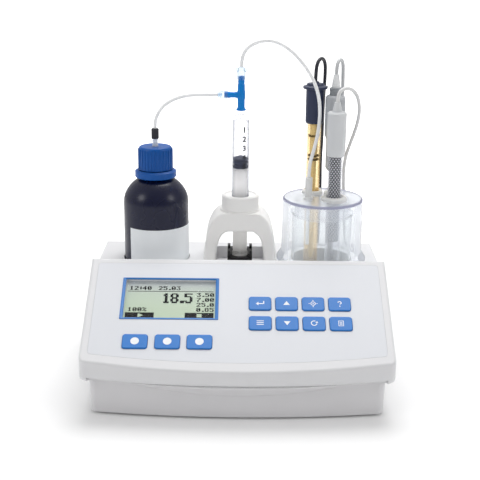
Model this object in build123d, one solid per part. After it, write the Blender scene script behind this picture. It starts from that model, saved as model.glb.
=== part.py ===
from build123d import *
from math import cos, sin, tan, radians, pi, sqrt
import os

os.makedirs("parts", exist_ok=True)

# ---------------------------------------------------------------- sizes, mm
# x to the right, y to the back, z up; the feet stand on z = 0.

# housing
body_width = 235.0          # over the side skirts
front_y = -100.0            # middle of the bowed apron
front_bow = 8.2             # how far the apron bows out at its middle
rear_y = 92.0               # foot of the rear panel
rear_lean = 12.0            # how far the rear panel leans in at the top
skirt_z = 28.5              # lower edge of the side skirts
apron_z = 46.3              # top of the apron at its corners
apron_height = 13.0
fascia_slope = 31.3         # degrees
ridge_y = -5.8
ridge_drop = 12.8           # ridge down to the rear deck
ridge_lean = 3.5
corner_radius = 5.5
skirt_turn = 4.5            # radius that turns the skirt in
edge_radius = 2.5
wall = 2.5

# base tray
base_inset = 6.0            # skirt to base wall
base_z = 2.0                # underside, held up by the feet
base_floor = 2.5
base_wall = 2.5
base_draft = 1.6            # degrees
crease_z = 19.0             # chin crease at the middle
crease_end_z = 31.5
crease_span = 198.0
tray_gap = 0.3              # base wall to the turned-in skirt
tray_rear = 5.0             # rear panel foot to the tray's rear wall

# feet and screws
foot_diameter = 14.0
foot_inset_x = 20.0
foot_inset_y = 18.0
foot_sink = 1.0
screw_shank = 3.0
screw_head = 5.6
screw_head_height = 2.0
screw_reach = 12.0
boss_diameter = 8.0
screw_x = body_width / 2 - 13.5
screw_front_y = -62.0
screw_rear_y = 70.0

# fascia overlay, display and keys, laid out in the plane of the fascia:
# x across, s up the slope from the corner edge
overlay_width = body_width - 12.4
overlay_low = 6.4
overlay_high = 94.4
overlay_bow = 7.4
overlay_thick = 0.6
overlay_radius = 3.0
window_x = -52.7
window_s = 58.8
window_width = 75.6
window_height = 40.8
window_proud = 0.5
glass_width = 70.4
glass_height = 38.0
lcd_thick = 4.0
key_width = 17.2
key_height = 13.0
key_pitch_x = 20.45
key_first_x = 17.0
key_upper_s = 54.2
key_lower_s = 35.4
soft_width = 19.0
soft_height = 13.0
soft_s = 17.4
soft_xs = (-76.8, -52.5, -28.5)
key_radius = 2.2
key_proud = 1.1
key_travel = 0.8
key_gap = 0.25
key_lip = 1.0
key_lip_thick = 1.0
board_thick = 1.6
dome_diameter = 6.0

# deck stations
station_y = 38.2
pump_x = 1.0

# reagent bottle
bottle_diameter = 53.8
bottle_well_gap = 0.9
bottle_floor_z = 61.0
bottle_shoulder_z = 134.0
bottle_neck = 24.0
bottle_wall = 1.6
ring_diameter = 34.0
ring_z = 155.0
ring_height = 6.2
cap_diameter = 28.8
cap_top_z = 180.6
cap_hole = 4.9
stub_top_z = 188.0
sleeve_top_z = 195.2
sleeve_diameter = 6.2
tube_diameter = 2.9
dip_end_z = 66.0
label_height = 48.0
label_low_z = 68.0
label_thick = 0.2
label_gap = 0.1
label_span = 250.0

# syringe pump
arch_width = 60.4
bottle_gap = 13.2
bottle_x = pump_x - arch_width / 2 - bottle_gap - bottle_diameter / 2
arch_gap = 40.4
arch_depth = 36.0
arch_top_z = 127.4
arch_opening_z = 112.4
arch_ring = 33.2
arch_edge = 2.0
collar_z = 128.8
collar_diameter = 31.2
collar_height = 11.8
barrel_bore = 13.0
barrel_wall = 0.6
barrel_top_z = 206.8
barrel_zero_z = 202.1
barrel_flange = 22.0
barrel_flange_height = 2.0
nozzle_diameter = 4.4
nozzle_top_z = 213.4
seal_length = 10.8
seal_top_z = 173.6          # where the plunger stands at rest
rod_width = 12.0
rod_rib = 1.6
plunger_foot = 15.0
plunger_foot_height = 1.8
foot_z = 88.2
fork_width = 20.6
fork_depth = 22.0
fork_low_z = 84.6
fork_top_z = 94.0
column_side = 12.0
pump_well_depth = 10.5
pump_well_front = 20.5
pump_well_rear = 67.0
screw_axis_y = 58.0
lead_diameter = 6.0
nut_low_z = 28.5
nut_height = 8.5
motor_side = 35.0
motor_height = 14.5
plunger_up = 28.0
plunger_down = 7.2

# valve
valve_stem = 5.8
valve_rise = 34.8          # foot of the valve to the top of its luer
valve_foot = 3.8           # barrel shoulder to the foot of the valve
luer_top_z = barrel_top_z + valve_foot + valve_rise
valve_arm_z = luer_top_z - 22.2
valve_arm = 4.9
valve_head_z = luer_top_z - 7.2
luer_wing = 9.0
side_luer_x = -17.8

# electrode holder and beaker
holder_diameter = 66.4
holder_foot = 67.8
holder_flange = 75.0
station_gap = 1.1
holder_x = pump_x + arch_width / 2 + station_gap + holder_flange / 2
holder_flange_height = 7.0
holder_top_z = 138.6
holder_wall = 1.8
holder_lid = 2.4
hub_diameter = 46.2
hub_height = 13.5
beaker_diameter = 50.0
beaker_height = 69.0
beaker_wall = 1.3
beaker_well_gap = 0.9
beaker_floor_z = 57.0
stir_bar_length = 25.0
stir_bar_diameter = 7.0

# probes: place on the lid, measured from the holder's axis
reference_at = (-8.0, 12.2)
thermo_at = (8.4, 7.0)
ph_at = (8.4, -11.0)
tip_at = (-12.6, -8.6)
probe_end_z = 74.0
reference_diameter = 11.8
reference_cap_diameter = 15.0
reference_cap_low_z = 198.6
reference_cap_height = 32.9
reference_cap_top_z = reference_cap_low_z + reference_cap_height
thermo_body = 16.4
thermo_rod = 4.6
thermo_low_z = 160.0
thermo_waist = 28.5
thermo_head = 34.2
thermo_ring = 5.9
thermo_relief = 10.9
thermo_waist_z = thermo_low_z + thermo_waist
thermo_top_z = thermo_waist_z + thermo_head
thermo_ring_z = thermo_top_z + thermo_ring
thermo_relief_z = thermo_ring_z + thermo_relief
ph_cap_diameter = 15.6
ph_cap_low_z = 176.0
ph_cap_height = 36.0
ph_relief = 7.6
ph_cap_top_z = ph_cap_low_z + ph_cap_height
ph_relief_z = ph_cap_top_z + ph_relief
ph_tube = 12.6
ph_core = 9.6
bushing_flange = 21.4
bushing_proud = 3.6
tip_sleeve = 6.0
tip_sleeve_top_z = 157.4

# cables
cable_diameter = 3.0

# rear sockets
socket_z = 58.0
bnc_x = 44.0
thermo_socket_x = 24.0
reference_socket_x = 6.0
usb_x = -26.0
power_x = -46.0
switch_x = -78.0

hw = body_width / 2
corner_y = front_y + front_bow
slope = tan(radians(fascia_slope))
cs, sn = cos(radians(fascia_slope)), sin(radians(fascia_slope))


def fascia_z(y):
    return apron_z + (y - corner_y) * slope


ridge_z = fascia_z(ridge_y)
deck_z = ridge_z - ridge_drop
deck_front_y = ridge_y + ridge_lean
rear_top_y = rear_y - rear_lean


def upright(r, low, high, x=0.0, y=0.0):
    return Pos(x, y, low) * Cylinder(r, high - low, align=(Align.CENTER, Align.CENTER, Align.MIN))


def tube(ro, ri, low, high, x=0.0, y=0.0):
    return upright(ro, low, high, x, y) - upright(ri, low - 1, high + 1, x, y)


def turned(points, x=0.0, y=0.0):
    """Solid of revolution about a vertical axis from (radius, z) points."""
    face = make_face(Polyline(*[(r, 0, z) for r, z in points], close=True))
    return Pos(x, y, 0) * revolve(face, axis=Axis.Z)


def block(x0, x1, y0, y1, z0, z1):
    return Pos((x0 + x1) / 2, (y0 + y1) / 2, (z0 + z1) / 2) * Box(x1 - x0, y1 - y0, z1 - z0)


def on_fascia(x, s, out=0.0):
    """Frame on the fascia: its z points out of the slope."""
    y = corner_y + s * cs
    return Plane(origin=(x, y - out * sn, fascia_z(y) + out * cs), x_dir=(1, 0, 0), z_dir=(0, -sn, cs))


# ---------------------------------------------------------------- housing
def plan(half, front, bow, rear, radius, inset=0.0):
    """Outline seen from above: bowed front, straight sides and rear."""
    corner = front + bow
    edges = Wire([
        ThreePointArc((-half, corner), (0, front), (half, corner)),
        Line((half, corner), (half, rear)),
        Line((half, rear), (-half, rear)),
        Line((-half, rear), (-half, corner)),
    ])
    face = make_face(edges)
    face = fillet(face.vertices(), radius)
    return offset(face, amount=-inset) if inset else face


def side_profile(inset=0.0, low=skirt_z):
    """Outline of the housing seen from the side, drawn on the YZ plane."""
    reach = front_y - 15
    pts = [
        (reach, low),
        (reach, fascia_z(reach)),
        (ridge_y, ridge_z),
        (deck_front_y, deck_z),
        (rear_top_y, deck_z),
        (rear_y + rear_lean * (skirt_z - low) / (deck_z - skirt_z), low),
    ]
    face = make_face(Polyline(*pts, close=True))
    return offset(face, amount=-inset, kind=Kind.INTERSECTION) if inset else face


def housing_form(inset, low):
    outline = plan(hw, front_y, front_bow, rear_y, corner_radius, inset)
    body = extrude(Pos(0, 0, low) * outline, amount=120)
    side = side_profile(inset, skirt_z - 20 if inset else skirt_z)
    return body & extrude(Plane.YZ * side, amount=hw + 5, both=True)


def apron_arc(x, half, front, bow):
    """y of the bowed front at x."""
    radius = (half ** 2 + bow ** 2) / (2 * bow)
    return front + radius - sqrt(radius ** 2 - x ** 2)


def bar_on(plane, x0, x1, y0, y1, z0, z1):
    return plane.location * block(x0, x1, y0, y1, z0, z1)


def post_on(plane, r, low, high, x=0.0, y=0.0):
    return plane.location * upright(r, low, high, x, y)


outer = housing_form(0.0, skirt_z)
soft_edges = outer.edges().filter_by(
    lambda e: e.center().Z > skirt_z + 0.5
    and not (abs(e.center().Y - deck_front_y) < 1.0 and abs(e.center().Z - deck_z) < 1.0)
    and not (e.length < 15 and abs(e.center().Y - (ridge_y + ridge_lean / 2)) < 4)
    and not abs(e.tangent_at(0.5).Z) > 0.9
)
outer = fillet(soft_edges, edge_radius)
# the skirt turns in under the housing and leaves only a line round the tray
turn_steps = [(0.0, 0.72), (0.18, 0.34), (0.5, 0.08), (1.0, 0.0)]
turn_rings = [Pos(0, 0, skirt_z + up * skirt_turn) * plan(
    hw - inn * skirt_turn, front_y + inn * skirt_turn, front_bow, rear_y - inn * skirt_turn, corner_radius)
    for up, inn in turn_steps]
outer &= loft(turn_rings, ruled=True) + block(-hw - 5, hw + 5, front_y - 5, rear_y + 5, skirt_z + skirt_turn, 120)
lip_top = skirt_z + skirt_turn
inner = housing_form(wall, skirt_z) & block(-hw, hw, front_y, rear_y + 5, lip_top, 120)
inner += extrude(Pos(0, 0, skirt_z - 1) * plan(
    hw - base_inset + tray_gap, front_y + base_inset - tray_gap, front_bow, rear_y - tray_rear + tray_gap, 6.0),
    amount=skirt_turn + 1.5)

# the apron's lower edge runs parallel to the fascia; the chin of the tray fills below it
fascia_drop = lambda y: fascia_z(y) - apron_height
notch_back = corner_y + 4.0
notch = extrude(
    Plane.YZ * make_face(Polyline(
        (front_y - 5, skirt_z - 5), (front_y - 5, fascia_drop(front_y - 5)),
        (notch_back, fascia_drop(notch_back)), (notch_back, skirt_z - 5), close=True)),
    amount=hw - base_inset, both=True)

# wells for the bottle and the beaker, and the sunk tray of the pump
bottle_well = bottle_diameter / 2 + bottle_well_gap
beaker_well = beaker_diameter / 2 + beaker_well_gap
pump_low = deck_z - pump_well_depth
pump_half = arch_gap / 2 - 0.2

top_housing = outer - inner - notch
wells = (
    upright(bottle_well + wall, bottle_floor_z - wall, deck_z - 0.5, bottle_x, station_y)
    + upright(beaker_well + wall, beaker_floor_z - wall, deck_z - 0.5, holder_x, station_y)
    + block(pump_x - pump_half - wall, pump_x + pump_half + wall, pump_well_front - wall,
            pump_well_rear + wall, pump_low - wall, deck_z - 0.5)
)
hollows = (
    upright(bottle_well, bottle_floor_z, deck_z + 1, bottle_x, station_y)
    + upright(beaker_well, beaker_floor_z, deck_z + 1, holder_x, station_y)
    + block(pump_x - pump_half, pump_x + pump_half, pump_well_front, pump_well_rear, pump_low, deck_z + 1)
)
top_housing = top_housing + wells - hollows
column_gap = 0.5
top_housing -= block(pump_x - column_side / 2 - column_gap, pump_x + column_side / 2 + column_gap,
                     station_y - column_side / 2 - column_gap, station_y + column_side / 2 + column_gap,
                     pump_low - wall - 1, pump_low + 1)

# upper bearing of the lead screw, under the pump tray
bearing_low = pump_low - wall - 6.0
top_housing += tube(5.0, lead_diameter / 2 + 0.05, bearing_low, pump_low - wall, pump_x, screw_axis_y)

# screw bosses
boss_z = base_z + 22.0
for sx in (-screw_x, screw_x):
    for sy in (screw_front_y, screw_rear_y):
        boss = upright(boss_diameter / 2, boss_z, 120, sx, sy) & outer
        top_housing = top_housing + boss - upright(screw_shank / 2, boss_z - 1, boss_z + screw_reach, sx, sy)

# recess for the overlay
def overlay_face(grow=0.0):
    half = overlay_width / 2 + grow
    low = overlay_low - grow
    high = overlay_high + grow
    wire = Wire([
        ThreePointArc((-half, low), (0, low - overlay_bow), (half, low)),
        Line((half, low), (half, high)),
        Line((half, high), (-half, high)),
        Line((-half, high), (-half, low)),
    ])
    return fillet(make_face(wire).vertices(), overlay_radius + grow)


fascia = on_fascia(0, 0)
top_housing -= fascia.location * (Pos(0, 0, -overlay_thick) * extrude(overlay_face(0.15), amount=5))

key_columns = [key_first_x + i * key_pitch_x for i in range(4)]
keys = {
    "key_escape": (key_columns[0], key_upper_s, key_width, key_height),
    "key_up": (key_columns[1], key_upper_s, key_width, key_height),
    "key_calibrate": (key_columns[2], key_upper_s, key_width, key_height),
    "key_help": (key_columns[3], key_upper_s, key_width, key_height),
    "key_menu": (key_columns[0], key_lower_s, key_width, key_height),
    "key_down": (key_columns[1], key_lower_s, key_width, key_height),
    "key_stir": (key_columns[2], key_lower_s, key_width, key_height),
    "key_log": (key_columns[3], key_lower_s, key_width, key_height),
    "key_soft_left": (soft_xs[0], soft_s, soft_width, soft_height),
    "key_soft_middle": (soft_xs[1], soft_s, soft_width, soft_height),
    "key_soft_right": (soft_xs[2], soft_s, soft_width, soft_height),
}


def key_prism(x, s, w, h, grow, low, high):
    face = RectangleRounded(w + 2 * grow, h + 2 * grow, key_radius + grow)
    return on_fascia(x, s).location * (Pos(0, 0, low) * extrude(face, amount=high - low))


window_hole = lambda w, h, low, high: on_fascia(window_x, window_s).location * (
    Pos(0, 0, low) * extrude(Rectangle(w, h), amount=high - low))

for x, s, w, h in keys.values():
    top_housing -= key_prism(x, s, w, h, key_gap, -wall - 1, 1)
top_housing -= window_hole(glass_width, glass_height, -wall - 1, 1)

# rear panel: a leaning plane that carries the sockets
rear_rise = deck_z - skirt_z
rear_len = sqrt(rear_rise ** 2 + rear_lean ** 2)


def rear_at(x, z=socket_z):
    y = rear_y - rear_lean * (z - skirt_z) / rear_rise
    return Plane(origin=(x, y, z), x_dir=(-1, 0, 0), z_dir=(0, rear_rise / rear_len, rear_lean / rear_len))


jack_hole = 4.8
usb_size = (12.0, 11.0)
power_size = (11.0, 11.0)
switch_size = (19.0, 13.0)
for x in (bnc_x, reference_socket_x, thermo_socket_x):
    top_housing -= post_on(rear_at(x), jack_hole, -wall - 1.5, 2)
for x, (w, h) in ((usb_x, usb_size), (power_x, power_size), (switch_x, switch_size)):
    top_housing -= bar_on(rear_at(x), -w / 2, w / 2, -h / 2, h / 2, -wall - 1.5, 2)
print("top_housing", top_housing.is_valid, len(top_housing.solids()), round(top_housing.volume))

# ---------------------------------------------------------------- base tray
base_half = hw - base_inset
base_front = front_y + base_inset
base_rear = rear_y - tray_rear
base_top = skirt_z + 6.0
base_rise = base_top - base_z
shrink = base_rise * tan(radians(base_draft))


def base_plan(z, inset=0.0):
    d = (base_top - z) * tan(radians(base_draft)) + inset
    return Pos(0, 0, z) * plan(base_half - d, base_front + d, front_bow, base_rear - d, 6.0)


base_tray = loft([base_plan(base_z), base_plan(base_top)]) - loft(
    [base_plan(base_z + base_floor, base_wall), base_plan(base_top + 0.001, base_wall)])

# chin: fills from the crease out to the apron's lower edge
chin_sections = []
chin_half = crease_span / 2
for i in range(-4, 5):
    x = i / 4 * chin_half
    out_y = apron_arc(x, hw, front_y, front_bow)
    in_y = apron_arc(x, base_half, base_front, front_bow) + 0.9
    part_z = fascia_drop(out_y)
    low_z = crease_z + (crease_end_z - crease_z) * (i / 4) ** 2
    inside = in_y + 1.6
    chin_sections.append(make_face(Polyline(
        (x, in_y, low_z), (x, out_y, part_z - 0.6), (x, out_y, part_z),
        (x, inside, fascia_drop(inside)), (x, inside, low_z), close=True)))
chin = loft(chin_sections)
base_tray = base_tray + chin

# bosses and posts standing on the floor of the tray
floor_z = base_z + base_floor
motor_top = floor_z + motor_height + 0.1
stir_seat_z = floor_z + 10.0
board_z = floor_z + 7.0
for sx in (-screw_x, screw_x):
    for sy in (screw_front_y, screw_rear_y):
        base_tray += upright(boss_diameter / 2, floor_z - 0.5, boss_z, sx, sy)
        base_tray -= upright(screw_shank / 2, base_z - 1, boss_z + 1, sx, sy)
        base_tray -= upright(screw_head / 2 + 0.1, base_z - 1, base_z + screw_head_height + 0.4, sx, sy)
main_board = (-88.0, 84.0, -78.0, -12.0)
for bx in (main_board[0] + 6, main_board[1] - 6):
    for by in (main_board[2] + 6, main_board[3] - 6):
        base_tray += upright(3.0, floor_z - 0.5, board_z, bx, by)
base_tray += tube(17.0, 14.0, floor_z - 0.5, stir_seat_z, holder_x, station_y)
foot_places = [(sx * (base_half - foot_inset_x), sy) for sx in (-1, 1)
               for sy in (corner_y + base_inset + foot_inset_y, base_rear - foot_inset_y)]
for fx, fy in foot_places:
    base_tray -= upright(foot_diameter / 2 + 0.1, base_z - 1, base_z + foot_sink, fx, fy)
print("base_tray", base_tray.is_valid, len(base_tray.solids()), round(base_tray.volume))

# ---------------------------------------------------------------- fascia parts
overlay = fascia.location * (Pos(0, 0, -overlay_thick) * extrude(overlay_face(), amount=overlay_thick))
for x, s, w, h in keys.values():
    overlay -= key_prism(x, s, w, h, key_gap, -2, 1)
panel_overlay = overlay - window_hole(window_width, window_height, -2, 1)

lens_top = window_proud - 0.2
window_frame = (window_hole(window_width - 0.1, window_height - 0.1, -overlay_thick, window_proud)
                - window_hole(glass_width, glass_height, -2, 2))
window_lens = window_hole(glass_width - 0.1, glass_height - 0.1, -overlay_thick, lens_top)
display_window = [window_frame, window_lens]

lcd_top = -wall - 0.1
lcd_module = window_hole(glass_width + 12, glass_height + 10, lcd_top - lcd_thick, lcd_top)
board_top = lcd_top - lcd_thick
keypad = on_fascia(0, 0).location * (Pos(-1.0, 46.0, board_top - board_thick) * extrude(
    RectangleRounded(196.0, 74.0, 2.0), amount=board_thick))
key_bottom = lcd_top - key_lip_thick
dome_top = key_bottom - key_travel - 0.1
key_solids = {}
for name, (x, s, w, h) in keys.items():
    cap = key_prism(x, s, w, h, 0.0, -wall - 0.5, key_proud)
    rim = cap.edges().filter_by(lambda e: abs(
        on_fascia(x, s).to_local_coords(e.center()).Z - key_proud) < 0.05)
    cap = fillet(rim, 0.6)
    key_solids[name] = cap + key_prism(x, s, w, h, key_lip, key_bottom, lcd_top)
    keypad += post_on(on_fascia(x, s), dome_diameter / 2, board_top - 0.2, dome_top)
for x, s in ((-96.2, 20.0), (-96.2, 79.0), (-3.0, 22.0), (-3.0, 79.0), (92.5, 16.0), (92.5, 79.0)):
    top_housing += post_on(on_fascia(x, s), 2.0, board_top, -wall + 0.3)
main = block(main_board[0], main_board[1], main_board[2], main_board[3], board_z, board_z + board_thick)
for cx, cy, w, d, h in ((-40, -45, 18, 18, 2.5), (10, -40, 14, 20, 2.5), (45, -55, 12, 12, 6.0),
                        (-70, -30, 8, 16, 9.0), (62, -26, 16, 10, 8.0)):
    main += block(cx - w / 2, cx + w / 2, cy - d / 2, cy + d / 2, board_z + board_thick - 0.2,
                  board_z + board_thick + h)
circuit_boards = [main, keypad]

# ---------------------------------------------------------------- feet, screws
rubber_feet = []
for fx, fy in foot_places:
    rubber_feet.append(turned([(0, 0), (foot_diameter / 2 - 0.8, 0), (foot_diameter / 2, 0.8),
                               (foot_diameter / 2, base_z + foot_sink), (0, base_z + foot_sink)], fx, fy))
housing_screws = []
for sx in (-screw_x, screw_x):
    for sy in (screw_front_y, screw_rear_y):
        head = base_z + 0.4
        screw = upright(screw_head / 2, head, head + screw_head_height, sx, sy) + upright(
            screw_shank / 2, head + screw_head_height - 0.1, boss_z + screw_reach - 1.0, sx, sy)
        housing_screws.append(screw)

# ---------------------------------------------------------------- reagent bottle
rb = bottle_diameter / 2
neck = bottle_neck / 2


def bottle_wall_profile(t):
    """Right half outline of the bottle, moved in by t."""
    r = rb - t
    low = bottle_floor_z + t
    shoulder = [(r, bottle_shoulder_z - 3), (r, bottle_shoulder_z), (r - 2.3, bottle_shoulder_z + 9.0),
                (r - 6.6, bottle_shoulder_z + 15.0 - t), (r - 11.3, ring_z - 2.2 - t), (neck - t, ring_z - 0.8 - t)]
    return r, low, shoulder


r0, low0, sh0 = bottle_wall_profile(0.0)
r1, low1, sh1 = bottle_wall_profile(bottle_wall)
neck_top = cap_top_z - 2.6
outline = Wire([
    Line((0, 0, low0), (r0 - 2.5, 0, low0)),
    ThreePointArc((r0 - 2.5, 0, low0), (r0 - 0.73, 0, low0 + 0.73), (r0, 0, low0 + 2.5)),
    Line((r0, 0, low0 + 2.5), (r0, 0, sh0[1][1])),
    Spline([(a, 0, b) for a, b in sh0[1:]], tangents=[(0, 0, 1), (-1, 0, 0.25)]),
    Line((neck, 0, sh0[-1][1]), (neck, 0, neck_top)),
    Line((neck, 0, neck_top), (neck - bottle_wall, 0, neck_top)),
    Line((neck - bottle_wall, 0, neck_top), (neck - bottle_wall, 0, sh1[-1][1])),
    Spline([(a, 0, b) for a, b in reversed(sh1[1:])], tangents=[(1, 0, -0.25), (0, 0, -1)]),
    Line((r1, 0, sh1[1][1]), (r1, 0, low1)),
    Line((r1, 0, low1), (0, 0, low1)),
    Line((0, 0, low1), (0, 0, low0)),
])
reagent_bottle = Pos(bottle_x, station_y, 0) * revolve(make_face(outline), axis=Axis.Z)

rr = ring_diameter / 2
tamper_ring = turned([(neck + 0.05, ring_z), (rr - 0.6, ring_z), (rr, ring_z + 0.6),
                      (rr, ring_z + ring_height - 1.2), (rr - 1.6, ring_z + ring_height),
                      (neck + 0.05, ring_z + ring_height)], bottle_x, station_y)
rc = cap_diameter / 2
cap_low = ring_z + ring_height + 0.3
bottle_cap = turned([(neck + 0.2, cap_low), (rc, cap_low), (rc, cap_top_z - 1.4), (rc - 1.4, cap_top_z),
                     (cap_hole / 2, cap_top_z), (cap_hole / 2, neck_top), (neck + 0.2, neck_top)],
                    bottle_x, station_y)
groove_ring = [Pos(bottle_x + (rc + 0.35) * cos(2 * pi * i / 36), station_y + (rc + 0.35) * sin(2 * pi * i / 36),
                   cap_low + 1.5) * Cylinder(0.7, cap_top_z - 3.5 - cap_low,
                                             align=(Align.CENTER, Align.CENTER, Align.MIN)) for i in range(36)]
bottle_cap -= groove_ring

stub = (cap_hole - 0.1) / 2
dip_tube = tube(stub, 1.45, dip_end_z, stub_top_z, bottle_x, station_y)
tube_sleeve = turned([(1.45, stub_top_z), (sleeve_diameter / 2, stub_top_z), (sleeve_diameter / 2, sleeve_top_z - 0.6),
                      (sleeve_diameter / 2 - 0.6, sleeve_top_z), (1.45, sleeve_top_z)], bottle_x, station_y)
tube_sleeve += tube(sleeve_diameter / 2, stub + 0.02, stub_top_z - 1.2, stub_top_z + 0.01, bottle_x, station_y)

label_ring = tube(rb + label_gap + label_thick, rb + label_gap, label_low_z, label_low_z + label_height, bottle_x, station_y)
half_cut = (360 - label_span) / 2
cut = make_face(Polyline((0, 0), (60 * cos(radians(90 - half_cut)), 60 * sin(radians(90 - half_cut))), (0, 90),
                         (60 * cos(radians(90 + half_cut)), 60 * sin(radians(90 + half_cut))), close=True))
bottle_label = label_ring - Pos(bottle_x, station_y, label_low_z - 1) * extrude(cut, amount=label_height + 2)

# ---------------------------------------------------------------- syringe pump
ah = arch_width / 2
gh = arch_gap / 2
ring_r = arch_ring / 2
side_left = [(-ah, deck_z), (-ah + 1.2, deck_z + 15), (-ah + 3.9, deck_z + 28), (-ah + 7.8, deck_z + 36.2),
             (-ring_r, arch_top_z)]
side_right = [(-x, z) for x, z in reversed(side_left)]
inside_left = [(-gh, deck_z), (-gh + 1.7, deck_z + 15), (-gh + 4.4, deck_z + 22), (-gh + 8.8, deck_z + 26),
               (-gh + 14, arch_opening_z)]
inside_right = [(-x, z) for x, z in reversed(inside_left)]
front = Wire([
    Spline([(x, 0, z) for x, z in side_left], tangents=[(0.03, 0, 1), (1, 0, 0.55)]),
    Line((-ring_r, 0, arch_top_z), (ring_r, 0, arch_top_z)),
    Spline([(x, 0, z) for x, z in side_right], tangents=[(1, 0, -0.55), (0.03, 0, -1)]),
    Line((ah, 0, deck_z), (gh, 0, deck_z)),
    Spline([(x, 0, z) for x, z in reversed(inside_right)], tangents=[(-0.05, 0, 1), (-1, 0, 0)]),
    Line((gh - 14, 0, arch_opening_z), (-gh + 14, 0, arch_opening_z)),
    Spline([(x, 0, z) for x, z in reversed(inside_left)], tangents=[(-1, 0, 0), (-0.05, 0, -1)]),
    Line((-gh, 0, deck_z), (-ah, 0, deck_z)),
])
arch = extrude(make_face(front), amount=arch_depth / 2, both=True)
arch_side = Wire([
    Line((-arch_depth / 2, deck_z), (arch_depth / 2, deck_z)),
    Spline([(arch_depth / 2, deck_z), (arch_depth / 2 - 0.4, deck_z + 22), (ring_r, arch_top_z)],
           tangents=[(0, 1), (-0.25, 1)]),
    Line((ring_r, arch_top_z), (-ring_r, arch_top_z)),
    Spline([(-ring_r, arch_top_z), (-arch_depth / 2 + 0.4, deck_z + 22), (-arch_depth / 2, deck_z)],
           tangents=[(-0.25, -1), (0, -1)]),
])
arch &= extrude(Plane.YZ * make_face(arch_side), amount=ah + 5, both=True)
arch_rim = arch.edges().filter_by(lambda e: abs(e.center().Z - deck_z) > 1 and abs(e.center().Z - arch_top_z) > 1
                                  and abs(e.center().Y) > 10)
arch = fillet(arch_rim, arch_edge)
pump_arch = Pos(pump_x, station_y, 0) * arch
rod_room = rod_width / 2 + 0.7
pump_arch += turned([(0, arch_top_z - 1.5), (ring_r - 1.5, arch_top_z - 1.5), (ring_r, arch_top_z), (ring_r, collar_z - 0.5),
                     (ring_r - 0.5, collar_z), (0, collar_z)], pump_x, station_y)
pump_arch -= upright(rod_room, deck_z - 1, collar_z + 1, pump_x, station_y)
# hollow that the fork rises into
fork_room = 1.0
pump_arch -= block(pump_x - fork_width / 2 - fork_room, pump_x + fork_width / 2 + fork_room,
                   station_y - fork_depth / 2 - fork_room, station_y + fork_depth / 2 + fork_room,
                   deck_z - 1, fork_top_z + plunger_up + fork_room)

rco = collar_diameter / 2
flange_r = barrel_flange / 2
collar_top = collar_z + collar_height
bore_r = barrel_bore / 2
barrel_r = bore_r + barrel_wall
pump_collar = turned([
    (flange_r + 0.2, collar_z), (rco, collar_z), (rco, collar_top - 0.8), (rco - 0.8, collar_top),
    (rco - 2.6, collar_top), (rco - 3.4, collar_top - 1.0), (barrel_r + 1.6, collar_top - 1.4),
    (barrel_r + 0.15, collar_top - 1.4), (barrel_r + 0.15, collar_z + barrel_flange_height + 0.1),
    (flange_r + 0.2, collar_z + barrel_flange_height + 0.1)], pump_x, station_y)

nozzle_r = nozzle_diameter / 2
syringe_barrel = turned([
    (bore_r, collar_z), (flange_r, collar_z), (flange_r, collar_z + barrel_flange_height),
    (barrel_r, collar_z + barrel_flange_height), (barrel_r, barrel_top_z - 1.6), (barrel_r - 1.6, barrel_top_z),
    (nozzle_r, barrel_top_z), (nozzle_r - 0.25, nozzle_top_z), (1.0, nozzle_top_z), (1.0, barrel_zero_z + 2.4),
    (bore_r, barrel_zero_z)], pump_x, station_y)

seal_low = seal_top_z - seal_length
seal_r = bore_r - 0.05
plunger_seal = turned([
    (0, seal_low), (seal_r - 0.3, seal_low), (seal_r, seal_low + 0.5), (seal_r, seal_low + 1.8),
    (seal_r - 0.6, seal_low + 2.4), (seal_r - 0.6, seal_low + 5.6), (seal_r, seal_low + 6.2),
    (seal_r, seal_low + 8.2), (seal_r - 0.4, seal_low + 8.6), (0, seal_top_z)], pump_x, station_y)
rod_top = seal_low
foot_top = foot_z + plunger_foot_height
rod = turned([(0, rod_top - 1.6), (rod_width / 2 - 0.3, rod_top - 1.6), (rod_width / 2 - 0.3, rod_top), (0, rod_top)],
             pump_x, station_y)
rod += turned([(0, foot_z), (plunger_foot / 2, foot_z), (plunger_foot / 2, foot_top), (0, foot_top)],
              pump_x, station_y)
for w, d in ((rod_width, rod_rib), (rod_rib, rod_width)):
    rod += block(pump_x - w / 2, pump_x + w / 2, station_y - d / 2, station_y + d / 2, foot_top - 0.2, rod_top - 1.4)
plunger_rod = rod

fh, fd = fork_width / 2, fork_depth / 2
fork_body_top = foot_top + 1.4
fork = block(pump_x - fh, pump_x + fh, station_y - fd, station_y + fd, fork_low_z, fork_body_top)
fork -= upright(plunger_foot / 2 + 0.25, foot_z, foot_top + 0.1, pump_x, station_y)
fork -= block(pump_x - plunger_foot / 2 - 0.25, pump_x + plunger_foot / 2 + 0.25, station_y - fd - 1, station_y,
              foot_z, foot_top + 0.1)
fork -= block(pump_x - rod_width / 2 - 0.4, pump_x + rod_width / 2 + 0.4, station_y - fd - 1,
              station_y + rod_width / 2 + 0.4, foot_z, fork_body_top + 1)
for sx in (-1, 1):
    for sy in (-1, 1):
        px = pump_x + sx * (fh - 1.1)
        py = station_y + sy * (fd - 3.0)
        fork += block(px - 1.1, px + 1.1, py - 3.0, py + 3.0, fork_body_top - 0.2, fork_top_z)
nut_top = nut_low_z + nut_height
half_c = column_side / 2
fork += block(pump_x - half_c, pump_x + half_c, station_y - half_c, station_y + half_c, nut_low_z, fork_low_z + 0.2)
fork += block(pump_x - 7.5, pump_x + 7.5, station_y - half_c, screw_axis_y, nut_low_z, nut_top)
fork += upright(7.5, nut_low_z, nut_top, pump_x, screw_axis_y)
fork -= upright(lead_diameter / 2 + 0.08, nut_low_z - 1, nut_top + 1, pump_x, screw_axis_y)
drive_fork = fork

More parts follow.
